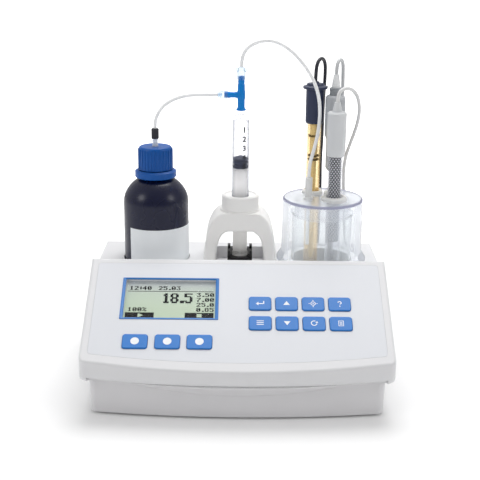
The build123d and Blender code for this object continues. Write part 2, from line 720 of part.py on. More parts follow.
lead_top = bearing_low + 5.2
lead_low = motor_top - 8.0
lead_screw = upright(2.0, lead_low, motor_top + 0.4, pump_x, screw_axis_y) + upright(
    lead_diameter / 2, motor_top + 0.3, lead_top, pump_x, screw_axis_y)
pump_motor = extrude(Pos(pump_x, screw_axis_y, floor_z) * RectangleRounded(motor_side, motor_side, 3.0),
                     amount=motor_height)
pump_motor -= upright(2.05, lead_low - 0.2, motor_top + 1, pump_x, screw_axis_y)

# ---------------------------------------------------------------- valve
vs = valve_stem / 2
valve_low = barrel_top_z + valve_foot
valve_body = turned([
    (0, valve_low), (vs + 0.7, valve_low), (vs + 0.7, valve_low + 1.4), (vs, valve_low + 2.0),
    (vs, luer_top_z - 10.4), (2.1, luer_top_z - 10.2), (2.1, valve_head_z), (0, valve_head_z)], pump_x, station_y)
side = Plane(origin=(pump_x, station_y, valve_arm_z), x_dir=(0, 1, 0), z_dir=(-1, 0, 0))
arm_reach = pump_x - side_luer_x
valve_body += post_on(side, valve_arm / 2, 0, arm_reach - 7.9)
valve_body += post_on(side, 2.1, 0, arm_reach - 5.2)
valve_body -= upright(nozzle_r + 0.02, valve_low - 1, nozzle_top_z + 0.1, pump_x, station_y)
valve_body -= upright(0.9, valve_low, valve_head_z + 1, pump_x, station_y)

upper_luer = turned([
    (2.15, luer_top_z - 10.2), (3.3, luer_top_z - 10.2), (3.3, luer_top_z - 3.0), (2.6, luer_top_z - 2.4),
    (2.6, luer_top_z), (0, luer_top_z), (0, valve_head_z), (2.15, valve_head_z)], pump_x, station_y)
upper_luer += block(pump_x - luer_wing / 2, pump_x + luer_wing / 2, station_y - 0.9, station_y + 0.9,
                    luer_top_z - 3.6, luer_top_z - 0.2)
side_luer = side.location * turned([
    (2.15, arm_reach - 7.9), (3.2, arm_reach - 7.9), (3.2, arm_reach - 2.2), (2.6, arm_reach - 1.8),
    (2.6, arm_reach), (0, arm_reach), (0, arm_reach - 5.2), (2.15, arm_reach - 5.2)])
side_luer += side.location * turned([(3.1, arm_reach - 7.0), (3.9, arm_reach - 7.0), (3.9, arm_reach - 6.2),
                                     (3.1, arm_reach - 6.2)])
side_luer += side.location * block(-0.9, 0.9, -luer_wing / 2, luer_wing / 2, arm_reach - 2.4, arm_reach - 0.2)
luer_locks = [upper_luer, side_luer]

# ---------------------------------------------------------------- holder, beaker, stirrer
ht = holder_diameter / 2
hb = holder_foot / 2
hf = holder_flange / 2
lid_low = holder_top_z - holder_lid
foot_z1 = deck_z + 1.6
foot_z2 = deck_z + holder_flange_height
electrode_holder = turned([
    (hb - holder_wall, deck_z), (hf, deck_z), (hf, foot_z1), (hb, foot_z2), (ht, holder_top_z - 1.0),
    (ht - 1.0, holder_top_z), (0, holder_top_z), (0, lid_low), (hub_diameter / 2 - 1.1, lid_low),
    (hub_diameter / 2 - 1.1, lid_low - hub_height), (hub_diameter / 2, lid_low - hub_height),
    (hub_diameter / 2, lid_low), (ht - holder_wall, lid_low)], holder_x, station_y)


def on_lid(place):
    return holder_x + place[0], station_y + place[1]


rx, ry = on_lid(reference_at)
tx, ty = on_lid(thermo_at)
px_, py_ = on_lid(ph_at)
dx_, dy_ = on_lid(tip_at)
ref_r, rod_r, ph_r, tip_r = reference_diameter / 2, thermo_rod / 2, ph_tube / 2, tip_sleeve / 2
neck_wall = 1.05
for (cx, cy), r in (((rx, ry), ref_r + neck_wall), ((tx, ty), rod_r + 2.6), ((px_, py_), ph_r + neck_wall)):
    electrode_holder -= upright(r, lid_low - 1, holder_top_z + 1, cx, cy)
electrode_holder -= upright(tip_r + 0.05, lid_low - 1, holder_top_z + 1, dx_, dy_)


def bushing(cx, cy, bore, neck_r, flange, proud):
    return turned([(bore, lid_low), (neck_r, lid_low), (neck_r, holder_top_z), (flange, holder_top_z),
                   (flange, holder_top_z + proud - 1.2), (flange - 1.2, holder_top_z + proud),
                   (bore + 1.4, holder_top_z + proud), (bore, holder_top_z + proud - 1.4)], cx, cy)


holder_bushings = [
    bushing(rx, ry, ref_r + 0.05, ref_r + neck_wall, 8.7, bushing_proud),
    bushing(tx, ty, rod_r + 0.05, rod_r + 2.6, 6.9, bushing_proud),
    bushing(px_, py_, ph_r + 0.05, ph_r + neck_wall, bushing_flange / 2, bushing_proud),
]

bk = beaker_diameter / 2
beaker_top = beaker_floor_z + beaker_height
beaker = turned([
    (0, beaker_floor_z), (bk - 3, beaker_floor_z), (bk - 0.9, beaker_floor_z + 0.9), (bk, beaker_floor_z + 3),
    (bk, beaker_top - 2.5), (bk + 1.2, beaker_top - 0.8), (bk + 1.2, beaker_top), (bk, beaker_top),
    (bk - beaker_wall, beaker_top - 2.5), (bk - beaker_wall, beaker_floor_z + 3.2),
    (bk - beaker_wall - 1.6, beaker_floor_z + beaker_wall), (0, beaker_floor_z + beaker_wall)], holder_x, station_y)

bar_r = stir_bar_diameter / 2
bar_z = beaker_floor_z + beaker_wall + bar_r + 0.15
bar_half = stir_bar_length / 2
stir_axis = Plane(origin=(holder_x, station_y, bar_z), x_dir=(0, 1, 0), z_dir=(1, 0, 0))
stir_bar = stir_axis.location * turned([
    (0, -bar_half), (bar_r - 1.6, -bar_half), (bar_r, -bar_half + 1.8), (bar_r, -1.5), (bar_r, 1.5),
    (bar_r, bar_half - 1.8), (bar_r - 1.6, bar_half), (0, bar_half)])

stir_motor_top = beaker_floor_z - wall - 10.0
rotor_top = beaker_floor_z - wall - 0.6
stirrer_motor = upright(14.0 - 0.0, floor_z, stir_seat_z, holder_x, station_y) + upright(
    16.0, stir_seat_z, stir_motor_top, holder_x, station_y)
stirrer_motor -= upright(1.55, stir_motor_top - 12.0, stir_motor_top + 1, holder_x, station_y)
magnet_rotor = upright(18.0, rotor_top - 5.0, rotor_top, holder_x, station_y) + upright(
    1.5, stir_motor_top - 11.8, rotor_top - 4.9, holder_x, station_y)
magnet_rotor += upright(3.5, stir_motor_top + 0.25, rotor_top - 4.9, holder_x, station_y)

tip_low = 100.0
dispensing_tip = turned([
    (1.0, tip_low), (1.5, tip_low), (1.7, lid_low - 6.0), (tip_r, lid_low - 4.5), (tip_r, holder_top_z),
    (tip_r + 0.9, holder_top_z), (tip_r + 0.9, holder_top_z + 1.6), (tip_r, holder_top_z + 2.4),
    (tip_r, tip_sleeve_top_z - 0.5), (tip_r - 0.5, tip_sleeve_top_z), (1.0, tip_sleeve_top_z)], dx_, dy_)

# ---------------------------------------------------------------- probes
rcap = reference_cap_diameter / 2
reference_cap = turned([
    (0, reference_cap_low_z + 8), (ref_r + 0.03, reference_cap_low_z + 8), (ref_r + 0.03, reference_cap_low_z),
    (rcap - 0.8, reference_cap_low_z), (rcap, reference_cap_low_z + 1.2), (rcap, reference_cap_top_z - 5.0),
    (10.0, reference_cap_top_z - 4.2), (10.2, reference_cap_top_z - 2.4), (rcap, reference_cap_top_z - 1.6),
    (rcap - 0.8, reference_cap_top_z), (3.4, reference_cap_top_z), (2.6, reference_cap_top_z + 1.6),
    (0, reference_cap_top_z + 1.6)], rx, ry)
reference_glass = turned([
    (0, probe_end_z), (ref_r - 2.4, probe_end_z + 0.6), (ref_r, probe_end_z + 4.0),
    (ref_r, reference_cap_low_z + 8), (ref_r - 1.0, reference_cap_low_z + 8), (ref_r - 1.0, probe_end_z + 4.4),
    (ref_r - 2.8, probe_end_z + 1.8), (0, probe_end_z + 1.3)], rx, ry)

tb = thermo_body / 2
thermo_probe_cap = turned([
    (0, thermo_low_z), (tb - 3.2, thermo_low_z), (tb - 1.6, thermo_low_z + 2.5), (tb - 1.4, thermo_waist_z - 2.0),
    (tb, thermo_waist_z + 1.0), (tb, thermo_top_z - 1.5), (tb - 1.5, thermo_top_z), (5.1, thermo_top_z),
    (5.1, thermo_ring_z), (3.7, thermo_ring_z + 0.3), (2.4, thermo_relief_z), (0, thermo_relief_z)], tx, ty)
thermo_probe_rod = turned([
    (0, probe_end_z), (rod_r - 1.2, probe_end_z + 0.4), (rod_r, probe_end_z + 2.2), (rod_r, thermo_low_z),
    (0, thermo_low_z)], tx, ty)

pc = ph_cap_diameter / 2
ph_cap = turned([
    (0, ph_cap_low_z + 6), (ph_r + 0.03, ph_cap_low_z + 6), (ph_r + 0.03, ph_cap_low_z), (ph_r + 0.8, ph_cap_low_z),
    (pc, ph_cap_low_z + 5.0), (pc, ph_cap_top_z - 1.2), (pc - 1.2, ph_cap_top_z), (4.0, ph_cap_top_z),
    (3.9, ph_cap_top_z + 1.0), (2.4, ph_relief_z), (0, ph_relief_z)], px_, py_)
core_r = ph_core / 2
ph_tube_solid = turned([
    (0, probe_end_z), (ph_r - 2.6, probe_end_z + 0.7), (ph_r, probe_end_z + 4.2), (ph_r, ph_cap_low_z + 6),
    (ph_r - 0.9, ph_cap_low_z + 6), (ph_r - 0.9, probe_end_z + 4.6), (ph_r - 3.0, probe_end_z + 1.9),
    (0, probe_end_z + 1.3)], px_, py_)
ph_core_solid = tube(core_r, core_r - 0.9, probe_end_z + 30, ph_cap_low_z + 6, px_, py_)
ph_sleeve = [ph_tube_solid, ph_core_solid]

# ---------------------------------------------------------------- rear sockets and switch
bnc_plane, ref_plane, rca_plane = rear_at(bnc_x), rear_at(reference_socket_x), rear_at(thermo_socket_x)


def on_rear(plane, points):
    return plane.location * turned(points)


bnc_reach = 13.48
bnc = on_rear(bnc_plane, [(0.8, -8), (jack_hole - 0.02, -8), (jack_hole - 0.02, 0), (7.0, 0), (7.0, 2.0),
                          (jack_hole, 2.0), (jack_hole, bnc_reach), (3.6, bnc_reach), (3.6, 3.0), (0.8, 3.0)])
reference_jack = on_rear(ref_plane, [(1.1, -8), (jack_hole - 0.02, -8), (jack_hole - 0.02, 0), (6.2, 0), (6.2, 2.2),
                                     (3.4, 2.2), (3.4, 6.0), (1.1, 6.0)])
rca_jack = on_rear(rca_plane, [(1.65, -8), (jack_hole - 0.02, -8), (jack_hole - 0.02, 0), (6.2, 0), (6.2, 1.6),
                               (4.1, 1.6), (4.1, 8.5), (2.9, 8.5), (2.9, 2.0), (1.65, 2.0)])
metal_sockets = [bnc, reference_jack, rca_jack]

usb_plane, power_plane, switch_plane = rear_at(usb_x), rear_at(power_x), rear_at(switch_x)


def framed_socket(plane, size, depth, proud, lip):
    w, h = size
    body = bar_on(plane, -w / 2, w / 2, -h / 2, h / 2, -depth, 0)
    return body + bar_on(plane, -w / 2 - lip, w / 2 + lip, -h / 2 - lip, h / 2 + lip, 0, proud)


usb = framed_socket(usb_plane, usb_size, 14, 0.8, 0.0)
usb -= bar_on(usb_plane, -4.25, 4.25, -3.9, 3.9, -10, 2)
usb += bar_on(usb_plane, -2.8, 2.8, -1.5, 1.5, -10.5, -1.0)
power = framed_socket(power_plane, power_size, 12, 0.8, 0.0)
power -= post_on(power_plane, 3.1, -9.5, 2)
power += post_on(power_plane, 1.0, -10.0, -0.6)
rocker_w, rocker_h, rocker_tilt = 10.4, 15.2, 10.0
well_w, well_h = 11.0, 17.0
switch_frame = framed_socket(switch_plane, switch_size, 12, 1.4, 1.2)
switch_frame -= bar_on(switch_plane, -well_h / 2, well_h / 2, -well_w / 2, well_w / 2, -10.5, 3)
pin_r, pin_out = 1.0, 0.7
pivot_depth = -1.0
pivot = Plane(origin=switch_plane.from_local_coords((0, 0, pivot_depth)), x_dir=switch_plane.x_dir,
              z_dir=switch_plane.y_dir)
switch_frame -= pivot.location * upright(pin_r + 0.05, -rocker_w / 2 - pin_out - 0.1, rocker_w / 2 + pin_out + 0.1)
plastic_sockets = [usb, power, switch_frame]

# rocker, drawn across its pin: u along the panel, v out of it
rh = rocker_h / 2
rocker_face = make_face(Wire([
    Line((-rh, 0), (-rh, 4.2)),
    ThreePointArc((-rh, 4.2), (0, 2.2), (rh, 4.2)),
    Line((rh, 4.2), (rh, 0)),
    ThreePointArc((rh, 0), (0, -6.4), (-rh, 0)),
]))
rocker = extrude(Rot(0, 0, rocker_tilt) * rocker_face, amount=rocker_w / 2, both=True)
rocker += upright(pin_r, -rocker_w / 2 - pin_out, rocker_w / 2 + pin_out)
rocker_plane = Plane(origin=pivot.origin, x_dir=switch_plane.x_dir, z_dir=(
    -switch_plane.y_dir.X, -switch_plane.y_dir.Y, -switch_plane.y_dir.Z))
power_switch = rocker_plane.location * rocker

# ---------------------------------------------------------------- plugs and cables
cable_r = cable_diameter / 2
bnc_plug = on_rear(bnc_plane, [
    (jack_hole + 0.1, 2.4), (7.2, 2.4), (7.2, 15.5), (6.2, 16.0), (5.0, 17.0), (5.0, 27.0), (3.6, 28.0),
    (2.3, 44.0), (0, 44.0), (0, bnc_reach + 0.3), (jack_hole + 0.1, bnc_reach + 0.3)])
reference_plug = on_rear(ref_plane, [
    (0, 6.3), (4.3, 6.3), (4.6, 8.0), (4.2, 26.0), (3.2, 27.5), (2.2, 40.0), (0, 40.0)])
reference_plug += on_rear(ref_plane, [(0, -6.0), (1.0, -5.5), (1.0, 6.5), (0, 6.5)])
rca_plug = on_rear(rca_plane, [
    (4.15, 2.2), (5.2, 2.2), (5.2, 26.0), (3.4, 28.0), (2.2, 42.0), (0, 42.0), (0, 9.0), (4.15, 9.0)])
rca_plug += on_rear(rca_plane, [(0, -6.0), (1.5, -5.4), (1.5, 9.2), (0, 9.2)])
cable_plugs = [bnc_plug, reference_plug, rca_plug]


def cord(points, radius, label):
    """Round tube along straight runs joined by tangent arcs."""
    v = [Vector(*p) for p in points]
    radii = []
    for a, b, c in zip(v, v[1:], v[2:]):
        turn = radians((b - a).get_angle(c - b))
        radii.append(0.45 * min((b - a).length, (c - b).length) / tan(turn / 2))
    path = FilletPolyline(*v, radius=radii)
    first = v[1] - v[0]
    section = Plane(origin=v[0], z_dir=first) * Circle(radius)
    solid = sweep(section, path=path)
    fill = solid.volume / (pi * radius ** 2 * path.length)
    print(label, "length %.1f" % path.length, "fill %.4f" % fill, "least radius %.1f" % min(radii), solid.is_valid)
    return solid, path.length


def out_of(plane, reach):
    p = plane.from_local_coords((0, 0, reach))
    return (p.X, p.Y, p.Z)


def past(plane, reach, along):
    return out_of(plane, reach + along)


coil_y = 172.0
coil_turn_r = 17.0
coil_width = 9.0
coil_high = 5.6
coil_xs = {"black": 14.0, "grey": 60.0, "white": 106.0}
low = cable_r



def hairpin(at, top_z, across, back):
    """Route of a cable out of its relief, straight up and over to (across, back)."""
    reach = sqrt(across ** 2 + back ** 2)
    bend = reach / 2
    rise = bend * tan(pi / 8)
    side = top_z - bend + rise
    near, far = 0.5 - tan(pi / 8) / 2, 0.5 + tan(pi / 8) / 2
    return [(at[0] + f * across, at[1] + f * back, z)
            for f, z in ((0.0, side), (near, top_z), (far, top_z), (1.0, side))]


black_front = [
    (rx, ry, reference_cap_top_z + 1.6), (rx, ry, 238.6),
    *hairpin((rx + 0.5, ry + 0.4), 250.6, 8.2, 13.6),
    (70.9, 67.6, 236.0), (70.6, 70.8, 220.0), (70.5, 74.0, 202.0), (70.9, 77.6, 182.0),
    (70.3, 80.8, 160.0), (71.2, 83.0, 136.0), (70.8, 86.4, 112.0), (71.4, 91.6, 88.0), (70.6, 97.6, 64.0),
    (69.6, 104.0, 42.0), (66.6, 111.6, 22.0), (61.0, 119.6, 8.0), (53.0, 128.6, low), (43.6, 140.0, low),
    (36.4, 153.0, low), (coil_xs["black"] + coil_turn_r + 0.6, 165.0, low), (coil_xs["black"] + coil_turn_r - 0.6, 174.0, low)]
grey_front = [
    (tx, ty, thermo_relief_z), *hairpin((tx, ty), 250.4, 6.6, 13.6),
    (85.2, 61.4, 234.0), (85.9, 64.6, 218.0), (85.2, 69.6, 199.0), (83.4, 75.6, 178.0), (81.0, 80.6, 154.0),
    (80.2, 83.6, 130.0), (79.0, 87.2, 106.0), (79.6, 92.6, 82.0), (79.0, 98.4, 60.0), (79.6, 104.8, 39.0),
    (78.6, 113.0, 20.0), (77.0, 124.0, 6.5), (75.8, 136.0, low), (76.6, 149.0, low), (78.2, 161.0, low),
    (coil_xs["grey"] + coil_turn_r - 0.6, 173.0, low)]
white_front = [
    (px_, py_, ph_relief_z), (px_, py_, 226.0), (82.6, 31.0, 230.2), (90.2, 37.2, 229.2), (96.2, 43.0, 222.0),
    (98.9, 48.0, 210.0), (97.6, 54.4, 195.6), (93.8, 63.4, 179.4), (90.4, 71.4, 163.6), (90.8, 79.6, 142.0),
    (93.8, 86.0, 118.0), (96.4, 91.6, 93.0), (99.8, 97.6, 68.0), (101.6, 103.6, 46.0), (104.0, 111.6, 25.0),
    (108.6, 121.6, 9.0), (114.6, 133.0, low), (120.0, 146.0, low), (123.6, 159.0, low),
    (coil_xs["white"] + coil_turn_r - 0.6, 172.0, low)]

black_out = 40.0
grey_out = 42.0
white_out = 44.0
black_back = [out_of(ref_plane, black_out), past(ref_plane, black_out, 9.0), (5.0, 146.6, 60.6), (3.0, 153.0, 46.0),
              (0.6, 156.6, 29.0), (-1.6, 160.4, 13.0), (-2.6, 165.4, 3.0), (-2.8, 172.0, low + 0.2)]
grey_back = [out_of(rca_plane, grey_out), past(rca_plane, grey_out, 9.0), (27.0, 147.4, 60.6), (32.0, 152.6, 46.0),
             (37.0, 155.6, 30.0), (41.0, 158.8, 14.0), (43.0, 164.4, 3.6), (43.4, 171.6, low + 0.2)]
white_back = [out_of(bnc_plane, white_out), past(bnc_plane, white_out, 9.0), (49.0, 149.0, 60.8), (60.0, 152.6, 46.0),
              (72.0, 154.6, 31.0), (82.0, 157.4, 15.0), (88.0, 164.0, 4.0), (89.4, 171.8, low + 0.2)]

cables = {}
coils = {}
cord_total = 1000.0
for name, a, b in (("black", black_front, black_back), ("grey", grey_front, grey_back),
                   ("white", white_front, white_back)):
    s1, l1 = cord(a, cable_r, name + " front")
    s2, l2 = cord(b, cable_r, name + " back")
    cables[name] = [s1, s2]
    print(name, "left for the coil %.0f, turns %.2f" % (cord_total - l1 - l2, (cord_total - l1 - l2) / (2 * pi * coil_turn_r)))
    coils[name] = tube(coil_turn_r + coil_width / 2, coil_turn_r - coil_width / 2, 0, coil_high, coil_xs[name], coil_y)

tube_r = tube_diameter / 2
aspiration_tube, _ = cord([
    (bottle_x, station_y, sleeve_top_z), (bottle_x, station_y, 200.6), (-66.4, station_y, 208.4),
    (-60.6, station_y, 215.2), (-51.6, station_y, 220.2), (-41.0, station_y, 222.6), (-29.4, station_y, valve_arm_z),
    (side_luer_x, station_y, valve_arm_z)], tube_r, "aspiration")
dispensing_tube, _ = cord([
    (pump_x, station_y, luer_top_z), (pump_x, station_y, 252.6), (5.0, station_y - 0.8, 260.6),
    (13.4, station_y - 2.0, 265.8), (24.6, station_y - 3.2, 267.4), (36.4, 34.0, 262.6), (47.6, 33.2, 252.6),
    (57.4, 32.4, 239.6), (63.4, 31.6, 224.6), (64.9, 31.0, 209.0), (63.6, 30.4, 193.6), (60.2, 29.8, 178.6),
    (dx_, dy_, 168.0), (dx_, dy_, tip_sleeve_top_z)], tube_r, "dispensing")

# ---------------------------------------------------------------- nodes
nodes = {
    "base_tray": base_tray, "top_housing": top_housing, "panel_overlay": panel_overlay,
    "display_window": display_window, "lcd_module": lcd_module, "circuit_boards": circuit_boards,
    **key_solids,
    "rubber_feet": rubber_feet, "housing_screws": housing_screws, "power_switch": power_switch,
    "metal_sockets": metal_sockets, "plastic_sockets": plastic_sockets,
    "reagent_bottle": reagent_bottle, "bottle_cap": bottle_cap, "tamper_ring": tamper_ring,
    "bottle_label": bottle_label, "dip_tube": dip_tube, "tube_sleeve": tube_sleeve,
    "pump_arch": pump_arch, "pump_collar": pump_collar, "syringe_barrel": syringe_barrel,
    "plunger_rod": plunger_rod, "plunger_seal": plunger_seal, "drive_fork": drive_fork,
    "lead_screw": lead_screw, "pump_motor": pump_motor, "valve_body": valve_body, "luer_locks": luer_locks,
    "electrode_holder": electrode_holder, "holder_bushings": holder_bushings, "beaker": beaker,
    "stir_bar": stir_bar, "stirrer_motor": stirrer_motor, "magnet_rotor": magnet_rotor,
    "dispensing_tip": dispensing_tip, "reference_cap": reference_cap, "reference_glass": reference_glass,
    "thermo_probe_cap": thermo_probe_cap, "thermo_probe_rod": thermo_probe_rod, "ph_cap": ph_cap,
    "ph_sleeve": ph_sleeve,
    "black_cable": cables["black"], "black_cable_coil": coils["black"], "grey_cable": cables["grey"],
    "grey_cable_coil": coils["grey"], "white_cable": cables["white"], "white_cable_coil": coils["white"],
    "cable_plugs": cable_plugs, "aspiration_tube": aspiration_tube, "dispensing_tube": dispensing_tube,
}
for name, shape in nodes.items():
    parts = shape if isinstance(shape, list) else [shape]
    solids = [s for p in parts for s in p.solids()]
    expected = len(parts)
    if len(solids) != expected or not all(s.is_valid for s in solids):
        print("CHECK", name, len(solids), expected, [s.is_valid for s in solids])
    export_step(Compound(children=solids) if len(solids) > 1 else solids[0], "parts/%s.step" % name)
print("nodes", len(nodes))
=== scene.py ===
"""Bench mini titrator: a sloped keypad housing with a reagent bottle, a syringe pump and an electrode holder."""

import math

import bmesh
import bpy
from mathutils import Matrix, Vector


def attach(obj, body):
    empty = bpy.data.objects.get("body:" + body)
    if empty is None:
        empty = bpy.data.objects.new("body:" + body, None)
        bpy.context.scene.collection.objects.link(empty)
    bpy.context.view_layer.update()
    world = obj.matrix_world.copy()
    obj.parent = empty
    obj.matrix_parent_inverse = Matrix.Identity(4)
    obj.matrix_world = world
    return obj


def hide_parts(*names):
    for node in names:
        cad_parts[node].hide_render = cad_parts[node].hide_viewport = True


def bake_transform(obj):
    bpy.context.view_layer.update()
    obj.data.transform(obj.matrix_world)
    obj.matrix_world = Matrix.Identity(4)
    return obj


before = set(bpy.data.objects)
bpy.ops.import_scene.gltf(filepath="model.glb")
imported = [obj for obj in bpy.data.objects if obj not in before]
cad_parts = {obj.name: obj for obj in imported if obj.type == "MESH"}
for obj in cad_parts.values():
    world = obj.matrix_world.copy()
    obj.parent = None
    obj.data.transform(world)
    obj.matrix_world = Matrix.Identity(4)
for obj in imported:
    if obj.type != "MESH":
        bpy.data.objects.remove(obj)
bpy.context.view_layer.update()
MM = 0.001

# ---------------------------------------------------------------- base tray
# The lower shell is injection-moulded ABS in light grey. It stands inside the skirt of the
# top half, and screws from below hold the two together.


def add(tree, kind, inputs=None, **settings):
    """Adds a node. An input that is given a socket is linked; anything else is its value."""
    node = tree.nodes.new(kind)
    for key, value in settings.items():
        setattr(node, key, value)
    for key, value in (inputs or {}).items():
        if isinstance(value, bpy.types.NodeSocket):
            tree.links.new(value, node.inputs[key])
        else:
            node.inputs[key].default_value = value
    return node


def worked(tree, operation, *values):
    """Result of a Math node on these sockets or numbers."""
    return add(tree, "ShaderNodeMath", dict(enumerate(values)), operation=operation).outputs[0]


def linear(code):
    """Linear colour of an sRGB hex code."""
    parts = [int(code[i : i + 2], 16) / 255 for i in (0, 2, 4)]
    return [p / 12.92 if p <= 0.04045 else ((p + 0.055) / 1.055) ** 2.4 for p in parts] + [1.0]


def new_material(name):
    material = bpy.data.materials.new(name)
    material.use_nodes = True
    material.node_tree.nodes.clear()
    return material, material.node_tree


def moulded(name, shade, rough, grain, depth, drift=0.04, seam=0.0, **shader):
    """Moulded plastic: a colour that drifts a little over the piece, and the fine sparked texture of its mould.
    grain is the texture's pitch and depth its height, in mm. Painted shade, from ambient occlusion, darkens the joints
    that are narrower than seam."""
    material, tree = new_material(name)
    place = add(tree, "ShaderNodeTexCoord").outputs["Object"]
    cloud = add(tree, "ShaderNodeTexNoise", {"Vector": place, "Scale": 30.0, "Detail": 3.0, "Roughness": 0.6})
    light, dark = linear(shade), linear(shade)
    dark[:3] = [c * (1 - drift) for c in dark[:3]]
    tint = add(tree, "ShaderNodeMix", {0: cloud.outputs["Fac"], 6: dark, 7: light}, data_type="RGBA")
    if seam:
        # Painted shade: ambient occlusion darkens the colour in joints and creases narrower than seam.
        nook = add(tree, "ShaderNodeAmbientOcclusion", {"Distance": seam * MM}, samples=6)
        painted_shade = add(tree, "ShaderNodeMapRange", {
            "Value": nook.outputs["AO"], "From Min": 0.3, "From Max": 0.75, "To Min": 0.35, "To Max": 1.0})
        tint = add(tree, "ShaderNodeMix", {0: 1.0, 6: tint.outputs[2], 7: painted_shade.outputs["Result"]},
                   data_type="RGBA", blend_type="MULTIPLY")
    spark = add(tree, "ShaderNodeTexNoise", {"Vector": place, "Scale": 1 / (grain * MM), "Detail": 2.0})
    uneven = add(tree, "ShaderNodeMapRange", {
        "Value": spark.outputs["Fac"], "From Min": 0.3, "From Max": 0.7,
        "To Min": rough - 0.05, "To Max": rough + 0.07})
    relief = add(tree, "ShaderNodeBump", {"Strength": 0.5, "Distance": depth * MM, "Height": spark.outputs["Fac"]})
    surface = add(tree, "ShaderNodeBsdfPrincipled", {
        "Base Color": tint.outputs[2], "Roughness": uneven.outputs["Result"], "Normal": relief.outputs["Normal"],
        "IOR": 1.5, **shader})
    add(tree, "ShaderNodeOutputMaterial", {"Surface": surface.outputs["BSDF"]})
    return material


def dress(name, material):
    """Gives a solid of the frame its finish."""
    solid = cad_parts[name]
    solid.data.materials.clear()
    solid.data.materials.append(material)


# A shade darker than the top half, and duller, so that the two mouldings read apart. Painted shade darkens it in joints
# narrower than 1.6 mm, such as the parting line.
dress("base_tray", moulded("moulded ABS, base tray", "E0DFE1", 0.46, 1.1, 0.03, seam=1.6))

# ---------------------------------------------------------------- top housing
# One large moulding in light grey ABS, with the sloping fascia, the well for the bottle and the tray
# for the pump all in one piece.
# Pale cool grey; a fine texture breaks up its soft sheen.
dress("top_housing", moulded("moulded ABS, top housing", "E3E3E5", 0.42, 1.1, 0.03))


def bare_metal(name, shade, rough, grain):
    """Worked metal: its colour, and a fine uneven sheen from the tool. grain is the tool marks' pitch in mm."""
    material, tree = new_material(name)
    place = add(tree, "ShaderNodeTexCoord").outputs["Object"]
    stretched = add(tree, "ShaderNodeMapping", {"Vector": place, "Scale": (1.0, 1.0, 12.0)})
    marks = add(tree, "ShaderNodeTexNoise", {"Vector": stretched.outputs[0], "Scale": 1 / (grain * MM), "Detail": 2.0})
    sheen = add(tree, "ShaderNodeMapRange", {
        "Value": marks.outputs["Fac"], "From Min": 0.3, "From Max": 0.7,
        "To Min": rough - 0.06, "To Max": rough + 0.08})
    relief = add(tree, "ShaderNodeBump", {"Strength": 0.3, "Distance": 0.01 * MM, "Height": marks.outputs["Fac"]})
    surface = add(tree, "ShaderNodeBsdfPrincipled", {
        "Base Color": linear(shade), "Metallic": 1.0, "Roughness": sheen.outputs["Result"],
        "Normal": relief.outputs["Normal"]})
    add(tree, "ShaderNodeOutputMaterial", {"Surface": surface.outputs["BSDF"]})
    return material


# ---------------------------------------------------------------- feet and screws
# Four rubber feet are pressed into the tray, and four steel screws go up into the bosses of the top half.
# Dull near-black rubber, and soft grey zinc with fine marks.
dress("rubber_feet", moulded("nitrile rubber feet", "232325", 0.72, 0.8, 0.05, 0.2))
zinc = bare_metal("zinc-plated steel", "B4B4B6", 0.34, 0.7)
dress("housing_screws", zinc)

# ---------------------------------------------------------------- boards, motors and drive inside
# Green glass-epoxy boards, a small geared motor under the pump and one under the stirring plate. None shows.
dress("circuit_boards", moulded("solder-masked glass epoxy", "1F5A34", 0.35, 0.5, 0.02, 0.15))
for name in ("pump_motor", "stirrer_motor", "magnet_rotor"):
    dress(name, zinc)
dress("lead_screw", bare_metal("rolled stainless steel", "C4C4C6", 0.26, 0.5))

# ---------------------------------------------------------------- fascia overlay
# A printed polyester film, glued into a shallow seat of the fascia. Its face has a fine velvet texture.
# Cooler and smoother than the housing, so that it reads as a film.
dress("panel_overlay", moulded("printed polyester film", "DDDFE4", 0.36, 0.7, 0.02, 0.02))
SLOPE = math.radians(31.3)
CORNER_Y, CORNER_Z = -91.8, 46.3


def on_slope(x, s, out=0.0):
    """Frame on the sloping fascia, s mm up from its lower corners: its z points out of the slope."""
    c, n = math.cos(SLOPE), math.sin(SLOPE)
    return Matrix((
        (1, 0, 0, x), (0, c, -n, CORNER_Y + c * s - n * out), (0, n, c, CORNER_Z + n * s + c * out), (0, 0, 0, 1)))


def eased(outline, reach, closed, cuts=3):
    """Outline of (radius, height) points with its corners rounded off, `reach` along each side."""
    soft = []
    for i, point in enumerate(outline):
        if not closed and i in (0, len(outline) - 1):
            soft.append(point)
            continue
        corner = Vector(point)
        to_last = Vector(outline[i - 1]) - corner
        to_next = Vector(outline[(i + 1) % len(outline)]) - corner
        start = corner + to_last * min(0.4, reach / to_last.length)
        end = corner + to_next * min(0.4, reach / to_next.length)
        for k in range(cuts + 1):
            t = k / cuts
            soft.append(tuple(start * (1 - t) ** 2 + corner * 2 * t * (1 - t) + end * t**2))
    return soft


def mesh_of(name, vertices, faces, place=None, smooth=True):
    """Mesh from points in mm, moved by `place`, with its faces pointing out."""
    mesh = bpy.data.meshes.new(name)
    mesh.from_pydata([tuple(v) for v in vertices], [], faces)
    work = bmesh.new()
    work.from_mesh(mesh)
    bmesh.ops.remove_doubles(work, verts=work.verts, dist=1e-4)
    bmesh.ops.recalc_face_normals(work, faces=work.faces)
    work.to_mesh(mesh)
    work.free()
    if smooth:
        mesh.shade_smooth()
        mesh.set_sharp_from_angle(angle=math.radians(38))
    mesh.transform(Matrix.Scale(MM, 4) @ (place or Matrix.Identity(4)))
    return mesh


def piece(name, mesh, material, body, replaced=()):
    """Puts a finished mesh in the scene, on its body."""
    made = bpy.data.objects.new(name, mesh)
    bpy.context.scene.collection.objects.link(made)
    mesh.materials.clear()
    mesh.materials.append(material)
    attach(made, body)
    if replaced:
        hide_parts(*replaced)
    return made


